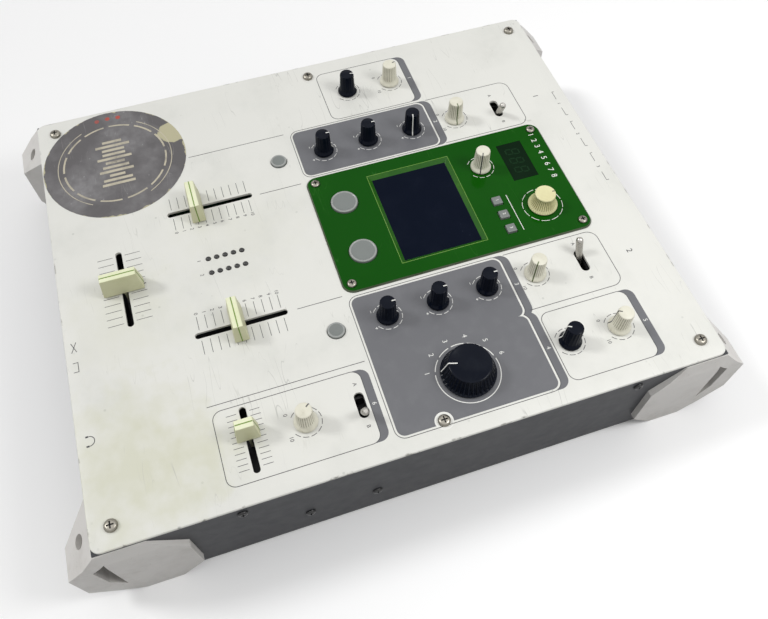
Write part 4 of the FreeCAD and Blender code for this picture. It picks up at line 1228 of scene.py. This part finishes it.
        x, y = pivot("knob_eq_type")
        marks = []
        for number in range(SELECTOR_PLACES):
            turn = selector_start() + SELECTOR_STEP * number
            marks.append((str(number + 1), *point_round(x, y, SELECTOR_TYPE_RADIUS, turn)))
        lettered(marks, SELECTOR_TYPE, pale, height, "selector_numerals")
        marks = []
        for section in (MIC_SECTION, *EQ_SECTIONS, MASTER_SECTION, MONITOR_SECTION):
            sides, _, rear, _ = section
            gap = LINE_GAP if section in EQ_SECTIONS else 0
            for left, right in zip(sides, sides[1:]):
                marks.append((str(len(marks) + 1), (left + right) / 2, rear + gap + BAND_DEPTH / 2))
        lettered(marks, SECTION_TYPE, pale, height, "section_numerals")


class MIXER_OT_sticker(bpy.types.Operator):
    """Lay a worn round sticker on the plate, with a plain design of rings and bars"""
    bl_idname = "mixer.sticker"
    bl_label = "Round sticker"

    def execute(self, context):
        look = context.scene.mixer_plate
        x, y = STICKER_CENTRE
        low = PLATE_TOP + 4 * PRINT_DEPTH
        high = low + 2 * PRINT_DEPTH
        printed([circle(x, y, STICKER_RADIUS)], sticker_paper(look), low, "sticker")
        motif = []
        for number in range(STICKER_BARS):
            tall = STICKER_BAR_LEAST + STICKER_BAR_SWING * abs(math.sin(1.1 * number + 0.4))
            across = STICKER_BAR_STEP * (number - (STICKER_BARS - 1) / 2)
            motif.append(bar(x + across, y, STICKER_BAR_WIDTH, tall))
        motif += [dash(x, y, *STICKER_RING, start, start + 24) for start in range(0, 360, 30)]
        motif += [dash(x, y, *STICKER_OUTER_RING, start, start + 120) for start in (-60, 120)]
        wear = {"amount": 0.9, "scale": 90.0, "specks": 0.8, "gloss": 0.6}
        printed(motif, finish("sticker_motif", look.motif, look.sticker, **wear), high, "sticker_motif")
        centres = [point_round(x, y, STICKER_DOT_RING, turn) for turn in (-100, -90, -80)]
        dots = [circle(*centre, STICKER_DOT_RADIUS, 16) for centre in centres]
        wear["amount"] = 0.8
        printed(dots, finish("sticker_accent", look.accent, look.sticker, **wear), high, "sticker_dots")
        return {"FINISHED"}


class MIXER_OT_effects_panel(bpy.types.Operator):
    """Model the green panel with its bezel, and print on it"""
    bl_idname = "mixer.effects_panel"
    bl_label = "Effects panel"

    def execute(self, context):
        look = context.scene.mixer_panel
        self.panel(look)
        self.prints(context.scene.mixer_plate, look)
        self.display(look)
        glass = finish("touch_glass", look.glass, (0.16, 0.18, 0.24), amount=0.12, scale=60.0, specks=0.8,
                       gloss=0.22, grain=1800.0, bump=0.03, Specular_IOR_Level=0.02)
        coat(frame["nodes"]["touch_pad"], glass)
        return {"FINISHED"}

    def panel(self, look):
        """Slab with a sloped window, a lip under it and holes for the controls."""
        low = Vector((PANEL_LOW.x, PANEL_LOW.y, PLATE_TOP))
        slab = soften_top(round_corners(block(low, PANEL_HIGH), look.corner), look.chamfer, 1)
        wide, deep = (size + 2 * (BEZEL_SLOPE + BEZEL_LIP) for size in TOUCH_SIZE)
        lip = box_at(0, TOUCH_Y, wide, deep, PANEL_LOW.z, PLATE_TOP + BEZEL_WELD * MM)
        combine(slab, [lip], "UNION")
        window = self.window()
        lens_low, lens_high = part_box("display_window")
        gap = Vector((LENS_GAP * MM, LENS_GAP * MM, 0))
        seat = block(lens_low - gap, lens_high + gap + Vector((0, 0, MM)))
        low, high = PANEL_LOW.z - MM, PANEL_TOP + MM
        cutters = [window, seat] + control_holes(low, high, on_panel_only=True)
        cutters += [rod(x, y, SCREW_HOLE, low, high, 20) for x, y in screw_places("pad_screws")]
        combine(slab, cutters)
        gloss = finish("green_gloss", look.green, (0.10, 0.36, 0.05), amount=0.35, scale=22.0, specks=0.25,
                       gloss=0.14, spread=0.08, grain=1500.0, bump=0.03, Specular_IOR_Level=0.05)
        scratched(gloss, (0.18, 0.40, 0.14), 20.0, 35, 0.5)
        border = finish("panel_border", look.border, (0.30, 0.31, 0.24), scale=80.0, gloss=0.3)
        bezel = finish("panel_bezel", look.bezel, (0.24, 0.46, 0.08), amount=0.6, scale=60.0, gloss=0.2,
                       bump=0.04, Specular_IOR_Level=0.25)
        coat(slab, gloss, border, bezel)
        half_wide, half_deep = (size / 2 + BEZEL_SLOPE + 0.1 for size in TOUCH_SIZE)

        def in_window(face):
            x, y, _ = face.center / MM
            return abs(x) < half_wide and abs(y - TOUCH_Y) < half_deep and 0.05 < abs(face.normal.z) < 0.95

        paint_faces(slab, 2, in_window)
        outer_x = PANEL_HIGH.x - look.chamfer - 0.1 * MM
        outer_y = (PANEL_HIGH.y - PANEL_LOW.y) / 2 - look.chamfer
        centre_y = (PANEL_HIGH.y + PANEL_LOW.y) / 2
        corner = look.corner

        def on_border(face):
            x, y = abs(face.center.x), abs(face.center.y - centre_y)
            in_corner = x > PANEL_HIGH.x - corner and y > outer_y - corner
            outside = x > outer_x or y > outer_y or in_corner
            return outside and face.normal.z < 0.95 and face.center.z > PLATE_TOP

        paint_faces(slab, 1, on_border)
        settle(slab, "effects_panel", "case", "green_panel", "pad_panel", angle=25)

    def window(self):
        """Cutter for the touch pad's window, which widens towards the top."""
        window = box_at(0, TOUCH_Y, *TOUCH_SIZE, PANEL_LOW.z, PANEL_TOP)
        choose(window, "polygons", lambda face: face.normal.z > 0.9)
        grow = [(size + 2 * BEZEL_SLOPE) / size for size in TOUCH_SIZE]
        bpy.ops.transform.resize(value=(*grow, 1), center_override=at(0, TOUCH_Y, PANEL_TOP))
        draw_out(0, 0, MM)
        close()
        choose(window, "polygons", lambda face: face.normal.z < -0.9)
        draw_out(0, 0, -MM)
        close()
        return window

    def prints(self, look, panel_look):
        """A painted highlight along the upper edge of the touch pad's slopes, and pale rings and numerals on
        the green panel.
        """
        pale = ink("pale_ink", look.pale_ink)
        height = PANEL_TOP + PRINT_DEPTH
        wide, deep = (size + 2 * BEZEL_SLOPE for size in TOUCH_SIZE)
        # The rim is a painted highlight: a bright line laid round the upper edge of the slopes
        rim = [bar(0, TOUCH_Y, wide + 2 * gap, deep + 2 * gap) for gap in BEZEL_HIGHLIGHT_RIM]
        printed(rim, ink("bezel_rim", panel_look.rim, 0.2), height, "bezel_rim", "green_panel")
        rings = dashed_ring("knob_effect_depth")
        rings += dashed_ring("knob_program", PROGRAM_RING, count=12, sweep=360, share=0.8)
        x, y = pivot("button_memory_2")
        rings.append(bar(x, y + MEMORY_BAR_Y, *MEMORY_BAR))
        printed(rings, pale, height, "panel_rings", "green_panel")
        x, y = PANEL_TYPE
        marks = [(str(number + 1), x + PANEL_TYPE_STEP * number, y) for number in range(PANEL_TYPE_COUNT)]
        lettered(marks, LARGE_TYPE, pale, height, "panel_numerals", slot_name="green_panel")
        for number in "123":
            name = f"button_memory_{number}"
            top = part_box(name)[1].z + PRINT_DEPTH
            marks = [(number, *pivot(name))]
            lettered(marks, KEY_TYPE, pale, top, f"memory_numeral_{number}", name, "grey_rubber")

    def display(self, look):
        """Three unlit digits of seven bars on the smoked lens."""
        lens = finish("smoked_lens", look.lens, (0.07, 0.16, 0.09), amount=0.3, scale=60.0, specks=0.3,
                      gloss=0.12, spread=0.05, bump=0.02, Specular_IOR_Level=0.03)
        coat(frame["nodes"]["display_window"], lens)
        centre = middle("display_window") / MM
        pitch, wide, tall, thick, lean = 7.4, 3.9, 8.2, 0.85, 8
        across, upright = wide - 0.5, tall / 2 - 1.1
        slope = math.tan(math.radians(lean))
        bars = []
        for digit in (-1, 0, 1):
            x, y = centre.x + pitch * digit, centre.y
            for rise in (-tall / 2, 0, tall / 2):
                bars.append(bar(x + rise * slope, y + rise, across, thick))
            for side in (-1, 1):
                for rise in (-tall / 4, tall / 4):
                    bars.append(bar(x + side * wide / 2 + rise * slope, y + rise, upright, thick, lean - 90))
        digits = finish("display_digits", look.digit, look.lens, amount=0.3, scale=150.0, gloss=0.3,
                        Specular_IOR_Level=0.03)
        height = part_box("display_window")[1].z + PRINT_DEPTH
        printed(bars, digits, height, "display_digits", "smoked_lens")


class MIXER_OT_small_knobs(bpy.types.Operator):
    """Model the black and the ivory knob once, and copy them to their shafts"""
    bl_idname = "mixer.small_knobs"
    bl_label = "Small knobs"

    def execute(self, context):
        look = context.scene.mixer_controls
        pale = ink("pale_ink", context.scene.mixer_plate.pale_ink)
        dark = ink("dark_ink", context.scene.mixer_plate.ink)
        olive = ink("olive_line", look.trim_line)
        black = ribbed(SMALL_KNOB, 96, [black_gloss(look)], low=3.4, high=14.0, group=3, depth=0.955)
        # The ivory knobs' grooves get a darker painted shade
        pale_knob = ribbed(SMALL_KNOB, 96, [ivory(look), groove(look)], low=3.4, high=14.0, group=2,
                           depth=0.95)
        kinds = {"black": (black, pale, "black_plastic"), "ivory": (pale_knob, dark, "ivory_plastic"),
                 "trim": (pale_knob, olive, "ivory_plastic")}
        patterns = {}
        for kind, (body, line, slot_name) in kinds.items():
            strip = ribbon(SMALL_POINTER, look.pointer, line)
            patterns[kind] = (joined([copied(body, (0, 0, 0)), strip]), slot_name)
        for name in JOINTS:
            if not name.startswith("knob_") or name in ("knob_eq_type", "knob_program"):
                continue
            kind = "trim" if "trim" in name else "ivory" if name in IVORY_KNOBS else "black"
            pattern, slot_name = patterns[kind]
            piece = seated(pattern, name, tallest(SMALL_KNOB), dial_turn(name))
            settle(piece, name + "_body", name, slot_name, name)
        drop(black, pale_knob, *[pattern for pattern, _ in patterns.values()])
        return {"FINISHED"}


class MIXER_OT_selector(bpy.types.Operator):
    """Model the large ribbed selector"""
    bl_idname = "mixer.selector"
    bl_label = "Selector"

    def execute(self, context):
        look = context.scene.mixer_controls
        dial = ribbed(SELECTOR, 144, [black_gloss(look)], low=1.4, high=10.3, group=2, depth=0.955)
        line = ribbon(SELECTOR_POINTER, look.pointer, ink("pale_ink", context.scene.mixer_plate.pale_ink))
        pattern = joined([dial, line])
        piece = seated(pattern, "knob_eq_type", tallest(SELECTOR), selector_start())
        settle(piece, "selector_body", "knob_eq_type", "black_plastic", "knob_eq_type")
        drop(pattern)
        return {"FINISHED"}


class MIXER_OT_program_knob(bpy.types.Operator):
    """Model the cream program knob with its ribbed flare"""
    bl_idname = "mixer.program_knob"
    bl_label = "Program knob"

    def execute(self, context):
        look = context.scene.mixer_controls
        cream = finish("cream", look.cream, (0.72, 0.66, 0.48), amount=0.35, scale=110.0, gloss=0.4, bump=0.1)
        # Darker painted shade in the program knob's grooves, with dirt in patches on it
        cream_grooves_shaded = finish("cream_groove", look.cream_groove, (0.36, 0.33, 0.20), amount=0.5, scale=110.0,
                       gloss=0.5, bump=0.1)
        body = ribbed(PROGRAM_KNOB, 144, [cream, cream_grooves_shaded], low=1.0, high=8.7, group=2, depth=0.95)
        mark = ribbon(PROGRAM_POINTER, look.pointer, ink("dark_ink", context.scene.mixer_plate.ink))
        pattern = joined([body, mark])
        piece = seated(pattern, "knob_program", tallest(PROGRAM_KNOB))
        settle(piece, "program_knob_body", "knob_program", "ivory_plastic", "knob_program")
        drop(pattern)
        return {"FINISHED"}


class MIXER_OT_fader_caps(bpy.types.Operator):
    """Model the wedge-shaped caps with their green lines"""
    bl_idname = "mixer.fader_caps"
    bl_label = "Fader caps"

    def execute(self, context):
        look = context.scene.mixer_controls
        long_cap = self.cap(look, LONG_CAP, CAP_LINE)
        short_cap = self.cap(look, SHORT_CAP, CUE_CAP_LINE)
        for name in FADER_CAPS:
            pattern = short_cap if name == "cue_fader_cap" else long_cap
            centre = middle(name)
            place = (centre.x, centre.y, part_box(name)[1].z - tallest(CAP_LINE) * MM)
            turn = math.radians(90) if travel(name)[3] else 0
            settle(copied(pattern, place, (0, 0, turn)), name + "_body", name, "ivory_plastic", name)
        drop(long_cap, short_cap)
        return {"FINISHED"}

    def cap(self, look, span, line):
        """A cap that slides along x, on its stem, with a line over its crest."""
        tall = tallest(line) * MM
        body = box_at(0, 0, CAP_BASE, span, 0, tall)
        choose(body, "polygons", lambda face: face.normal.z > 0.9)
        share = (CAP_CREST / CAP_BASE, (span - 2 * CAP_SLOPE) / span, 1)
        bpy.ops.transform.resize(value=share, center_override=(0, 0, tall))
        close()
        soften(body, CAP_EDGE * MM, 3)
        choose(body, "polygons", lambda face: face.normal.z < -0.9)
        draw_out(0, 0, 0)
        stem_long, stem_wide, stem_deep = CAP_STEM
        share = (stem_long / (CAP_BASE - 2 * CAP_EDGE), stem_wide / (span - 2 * CAP_EDGE), 1)
        bpy.ops.transform.resize(value=share, center_override=(0, 0, 0))
        draw_out(0, 0, -stem_deep * MM)
        close()
        wear = {"amount": 0.45, "scale": 90.0, "bump": 0.06}
        pale = finish("cap_plastic", look.cap, (0.80, 0.83, 0.60), gloss=0.38, **wear)
        # The sloping sides get a darker copy of the cap plastic as painted shade
        shaded_sides = finish("cap_sides", look.cap_side, (0.70, 0.71, 0.50), gloss=0.42, **wear)
        coat(body, pale, shaded_sides)
        paint_faces(body, 1, lambda face: face.normal.z < 0.4)
        first = ribbon(line, look.pointer, ink("green_line", look.line))
        second = copied(first, (0, 0, 0), (0, 0, math.pi))
        return joined([body, first, second])


class MIXER_OT_toggles(bpy.types.Operator):
    """Model a steel lever once and lean a copy in each switch"""
    bl_idname = "mixer.toggles"
    bl_label = "Toggle levers"

    def execute(self, context):
        lever = coat(turned(LEVER, 32), steel(context.scene.mixer_controls))
        for name in TOGGLES:
            lean = -math.radians(dial_turn(name))
            piece = copied(lever, JOINTS[name]["pos_m"], (0, lean, 0))
            settle(piece, name + "_lever", name, "steel", name)
        drop(lever)
        return {"FINISHED"}


class MIXER_OT_buttons(bpy.types.Operator):
    """Model the round and square push buttons"""
    bl_idname = "mixer.buttons"
    bl_label = "Push buttons"

    def execute(self, context):
        look = context.scene.mixer_controls
        wear = {"scale": 110.0, "gloss": 0.34, "bump": 0.08}
        grey = finish("grey_button", look.rubber, (0.42, 0.42, 0.41), amount=0.4, **wear)
        # The paler rim finish is a painted highlight on the buttons' rounded upper edge
        rim = finish("button_rim", look.rim, look.rubber, amount=0.5, **wear)
        patterns = {}
        for kind, profile in (("monitor", ROUND_BUTTON), ("effect", EFFECT_BUTTON)):
            pattern = coat(turned(profile, 64), grey, rim)
            inner = (profile[5][0] - BUTTON_HIGHLIGHT_RIM) * MM
            paint_faces(pattern, 1, lambda face: face.center.z > 0.5 * MM and face.center.xy.length > inner)
            patterns[kind] = pattern
        for name in ("button_monitor_1", "button_monitor_2", "button_hold", "button_tap"):
            pattern = patterns["monitor" if "monitor" in name else "effect"]
            piece = copied(pattern, at(*pivot(name), deck(name)))
            settle(piece, name + "_cap", name, "grey_rubber", name)
        drop(*patterns.values())
        for number in "123":
            name = f"button_memory_{number}"
            piece = coat(soften(node_copy(name), SQUARE_BUTTON_EDGE * MM, 3), grey)
            settle(piece, name + "_cap", name, "grey_rubber", name)
        return {"FINISHED"}


class MIXER_OT_lamps(bpy.types.Operator):
    """Model one domed lamp and copy it into the two columns"""
    bl_idname = "mixer.lamps"
    bl_label = "Level lamps"

    def execute(self, context):
        look = context.scene.mixer_controls
        dome = finish("lamp_dome", look.lamp, (0.21, 0.20, 0.20), amount=0.4, scale=200.0, gloss=0.3,
                      bump=0.05)
        lamp = coat(turned(LAMP, 24), dome)
        lamps = [copied(lamp, at(x, y, PLATE_TOP)) for x, y in lamp_places()]
        settle(joined(lamps), "lamp_domes", "case", "lamp", "level_lamps")
        drop(lamp)
        return {"FINISHED"}


class MIXER_OT_screws(bpy.types.Operator):
    """Model the screws with their cross recesses"""
    bl_idname = "mixer.screws"
    bl_label = "Screws"

    def execute(self, context):
        look = context.scene.mixer_controls
        dull = finish("dull_steel", look.screw, (0.28, 0.26, 0.22), amount=0.7, scale=260.0, gloss=0.3,
                      Metallic=1.0)
        # The black of the fittings serves as painted shade in the screws' cross recesses
        dark = black_parts(context.scene.mixer_case)
        plate = self.recessed(coat(self.screw(PLATE_SCREW, PLATE_RECESS), dull, dark))
        copies = [copied(plate, at(x, y, PLATE_TOP)) for x, y in plate_screw_places()]
        settle(joined(copies), "plate_screw_heads", "case", "steel", "plate_screws")
        small = self.recessed(coat(self.screw(SMALL_SCREW, SMALL_RECESS), dull, dark))
        copies = [copied(small, at(x, y, PANEL_TOP)) for x, y in screw_places("pad_screws")]
        settle(joined(copies), "panel_screw_heads", "case", "steel", "pad_screws")
        coat(small, finish("black_screw", look.side_screw, (0.13, 0.13, 0.13), amount=0.3, scale=150.0,
                           gloss=0.28))
        copies = []
        for y, z in self.side_places():
            for side in (-1, 1):
                copies.append(copied(small, (side * PLATE_HIGH.x, y, z), (0, side * math.pi / 2, 0)))
        settle(joined(copies), "side_screw_heads", "case", "black_steel", "side_screws")
        drop(plate, small)
        return {"FINISHED"}

    def screw(self, profile, recess):
        """A domed head on its shank, with a cross cut into it."""
        top = tallest(profile) * MM
        screw = turned(profile, 32)
        arms = ((recess, RECESS_WIDTH), (RECESS_WIDTH, recess))
        for arm, depth in zip(arms, RECESS_DEPTHS):
            combine(screw, [box_at(0, 0, *arm, top - depth * MM, top + MM)])
        return screw

    def recessed(self, screw):
        """Paint shade into the cross in a screw's head, in the black of the fittings."""
        top = max(point.co.z for point in screw.data.vertices)

        def in_cross(face):
            square = face.normal.z > 0.99 or abs(face.normal.z) < 0.1
            inside = face.center.xy.length < RECESS_SHADE_REACH * MM
            return square and inside and 0 < face.center.z < top - RECESS_RIM * MM

        paint_faces(screw, 1, in_cross)
        return screw

    def side_places(self):
        """Depth and height of the screws in one wall, read from the node's loose solids."""
        points = [vertex.co for vertex in frame["nodes"]["side_screws"].data.vertices]
        groups = []
        for point in points:
            if point.x <= PLATE_HIGH.x:
                continue
            near = [group for group in groups if (point - group[0]).yz.length < SIDE_SCREW_REACH * MM]
            if near:
                near[0].append(point)
            else:
                groups.append([point])
        centres = []
        for group in groups:
            ys = [point.y for point in group]
            zs = [point.z for point in group]
            centres.append(((min(ys) + max(ys)) / 2, (min(zs) + max(zs)) / 2))
        return centres


class MIXER_OT_fittings(bpy.types.Operator):
    """Model the sockets, the ground post, the power button and the curve lever"""
    bl_idname = "mixer.fittings"
    bl_label = "Sockets and switches"

    def execute(self, context):
        look = context.scene.mixer_case
        dark = black_parts(look)
        nickel = finish("nickel", look.nickel, (0.55, 0.51, 0.43), amount=0.5, scale=180.0, gloss=0.24,
                        Metallic=1.0)
        coat(frame["nodes"]["rca_sockets"], nickel)
        for name in ("mic_socket", "headphone_socket", "power_inlet"):
            coat(frame["nodes"][name], dark)
        self.phono_cores(look)
        self.jacks(nickel, dark)
        post = ribbed(THUMB_NUT, 64, [nickel], low=1.7, high=8.5, group=1, depth=0.95)
        settle(self.on_rear(post, "ground_post"), "ground_thumb_nut", "case", "steel", "ground_post")
        cap = coat(turned(POWER_CAP, 40), dark)
        piece = self.on_rear(cap, "button_power")
        settle(piece, "power_button_cap", "button_power", "black_plastic", "button_power")
        drop(post, cap)
        lever = coat(soften(node_copy("curve_lever"), CURVE_LEVER_EDGE * MM), dark)
        settle(lever, "curve_lever_cap", "curve_lever", "black_plastic", "curve_lever")
        return {"FINISHED"}

    def on_rear(self, pattern, name):
        """Copy a turned piece to the rear wall, at its node."""
        centre = middle(name)
        return copied(pattern, (centre.x, PLATE_HIGH.y, centre.z), TO_REAR)

    def jacks(self, nickel, dark):
        """A nut and a bushing on each of the two jacks."""
        nut = coat(self.hex_nut(), nickel)
        bushing = coat(turned(JACK_BUSHING, 32), dark)
        walls = (("mic_socket", TO_REAR, PLATE_HIGH.y), ("headphone_socket", TO_FRONT, PLATE_LOW.y))
        for name, turn, wall in walls:
            centre = middle(name)
            place = (centre.x, wall, centre.z)
            settle(copied(nut, place, turn), name + "_nut", "case", "nickel")
            settle(copied(bushing, place, turn), name + "_bushing", "case", "component")
        drop(nut, bushing)

    def hex_nut(self):
        """A six-sided nut with a bore, over the socket's plain collar."""
        nut = soften(rod(0, 0, NUT_RADIUS, 0, NUT_HEIGHT * MM, 6), NUT_EDGE * MM)
        return combine(nut, [rod(0, 0, NUT_BORE, -MM, 5 * MM, 40)])

    def phono_cores(self, look):
        """Coloured cores in the ends of the phono sockets, white above and red below."""
        low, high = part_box("rca_sockets")
        inset = PHONO_FLANGE * MM
        first, last = low.x + inset, high.x - inset
        rows = (("white", look.white_core, high.z - inset), ("red", look.red_core, low.z + inset))
        for colour, shade, z in rows:
            used = finish(colour + "_core", shade, (0.45, 0.42, 0.38), amount=0.3, scale=150.0, gloss=0.35)
            core = coat(turned(PHONO_CORE, 28), used)
            copies = []
            for number in range(PHONO_COLUMNS):
                x = first + (last - first) * number / (PHONO_COLUMNS - 1)
                copies.append(copied(core, (x, PLATE_HIGH.y, z), TO_REAR))
            settle(joined(copies), f"phono_cores_{colour}", "case", "nickel")
            drop(core)


class MIXER_OT_case(bpy.types.Operator):
    """Finish the walls, the base, the corner guards and the inner pieces"""
    bl_idname = "mixer.case"
    bl_label = "Case and inner pieces"

    def execute(self, context):
        look = context.scene.mixer_case
        paint = finish("case_paint", look.paint, (0.29, 0.29, 0.30), amount=0.4, scale=24.0, specks=0.5,
                       gloss=0.5, grain=1100.0, bump=0.25, Specular_IOR_Level=0.2)
        scratched(paint, (0.36, 0.36, 0.37), 22.0, 10, 0.5)
        guard = finish("guard_plastic", look.guard, (0.66, 0.64, 0.61), amount=0.55, scale=38.0, specks=0.5,
                       gloss=0.5, grain=1400.0, bump=0.15)
        scratched(guard, (0.66, 0.65, 0.63), 26.0, 40, 0.5)
        dark = black_parts(look)
        board = finish("board_lacquer", look.board, (0.08, 0.22, 0.13), amount=0.4, scale=60.0, gloss=0.35)
        groups = [
            (paint, ("base_sheet", "side_panel_left", "side_panel_right", "front_panel", "rear_panel")),
            (guard, ("guard_front_left", "guard_front_right", "guard_rear_left", "guard_rear_right")),
            (dark, ("pot_bodies", "fader_units", "switch_bodies", "key_switches")),
            (board, ("main_board",)),
            (steel(context.scene.mixer_controls), ("board_posts",)),
        ]
        for used, names in groups:
            for name in names:
                coat(frame["nodes"][name], used)
        return {"FINISHED"}


class MIXER_OT_stage(bpy.types.Operator):
    """Set the floor, the light and the camera"""
    bl_idname = "mixer.stage"
    bl_label = "Stage"

    def execute(self, context):
        look = context.scene.mixer_stage
        deselect()
        bpy.ops.mesh.primitive_plane_add(size=FLOOR_SIZE)
        floor = bpy.context.object
        floor.name = "floor"
        white = bpy.data.materials.new("floor_white")
        white.use_nodes = True
        shader = white.node_tree.nodes["Principled BSDF"]
        shade = blend(white.node_tree, seen_share(white.node_tree), linear(look.bounce), linear(look.floor))
        white.node_tree.links.new(shade, shader.inputs["Base Color"])
        shader.inputs["Roughness"].default_value = 0.9
        shader.inputs["Specular IOR Level"].default_value = 0.0
        coat(floor, white)
        self.lamp("front_lamp", look.front_light, look.softness, FRONT_LAMP_TURN)
        bpy.ops.object.light_add(type="AREA", location=look.rear_place)
        near = bpy.context.object
        near.name = "rear_lamp"
        near.rotation_euler = Vector(look.rear_place).to_track_quat("Z", "Y").to_euler()
        near.data.energy = look.rear_light
        near.data.size = look.rear_size
        self.lamp("top_lamp", look.top_light, look.breadth, TOP_LAMP_TURN)
        self.surroundings(look)
        bpy.ops.object.camera_add(location=look.eye, rotation=look.turn)
        camera = bpy.context.object
        camera.data.lens = look.lens
        camera.data.sensor_width = CAMERA_SENSOR
        context.scene.camera = camera
        context.scene.view_settings.view_transform = "Standard"
        return {"FINISHED"}

    def lamp(self, name, strength, softness, turn):
        """A far, soft lamp; its turn is in degrees."""
        turn = [math.radians(angle) for angle in turn]
        bpy.ops.object.light_add(type="SUN", location=(0, 0, LAMP_HEIGHT), rotation=turn)
        lamp = bpy.context.object
        lamp.name = name
        lamp.data.energy = strength
        lamp.data.angle = softness

    def surroundings(self, look):
        """Even fill light, which the camera and reflections see as white."""
        world = bpy.data.worlds.new("studio")
        bpy.context.scene.world = world
        world.use_nodes = True
        tree = world.node_tree
        fill = tree.nodes["Background"]
        fill.inputs["Color"].default_value = (1, 1, 1, 1)
        fill.inputs["Strength"].default_value = look.fill
        seen = node(tree, "Background", {}, {"Color": (1, 1, 1, 1), "Strength": 1.0})
        mixed = node(tree, "MixShader", {}, {0: seen_share(tree), 1: fill.outputs[0], 2: seen.outputs[0]})
        tree.links.new(mixed.outputs[0], tree.nodes["World Output"].inputs["Surface"])


STEPS = [MIXER_OT_case, MIXER_OT_plate, MIXER_OT_prints, MIXER_OT_sticker, MIXER_OT_effects_panel,
         MIXER_OT_small_knobs, MIXER_OT_selector, MIXER_OT_program_knob, MIXER_OT_fader_caps,
         MIXER_OT_toggles, MIXER_OT_buttons, MIXER_OT_lamps, MIXER_OT_screws, MIXER_OT_fittings,
         MIXER_OT_stage]
LOOKS = {"mixer_plate": PlateLook, "mixer_panel": PanelLook, "mixer_controls": ControlLook,
         "mixer_case": CaseLook, "mixer_stage": StageLook}


class MIXER_PT_pieces(bpy.types.Panel):
    """Lists the steps that dress the mixer"""
    bl_idname = "MIXER_PT_pieces"
    bl_label = "Mixer"
    bl_space_type = "VIEW_3D"
    bl_region_type = "UI"
    bl_category = "Mixer"

    def draw(self, context):
        for step in STEPS:
            self.layout.operator(step.bl_idname)
        for name, group in LOOKS.items():
            box = self.layout.box()
            for label in group.__annotations__:
                box.prop(getattr(context.scene, name), label)


def register():
    for group in (*LOOKS.values(), *STEPS, MIXER_PT_pieces):
        bpy.utils.register_class(group)
    for name, group in LOOKS.items():
        setattr(bpy.types.Scene, name, PointerProperty(type=group))


def unregister():
    for name in LOOKS:
        delattr(bpy.types.Scene, name)
    for group in reversed((*LOOKS.values(), *STEPS, MIXER_PT_pieces)):
        bpy.utils.unregister_class(group)


def main():
    register()
    for step in STEPS:
        area, name = step.bl_idname.split(".")
        getattr(getattr(bpy.ops, area), name)()


if __name__ == "__main__":
    main()
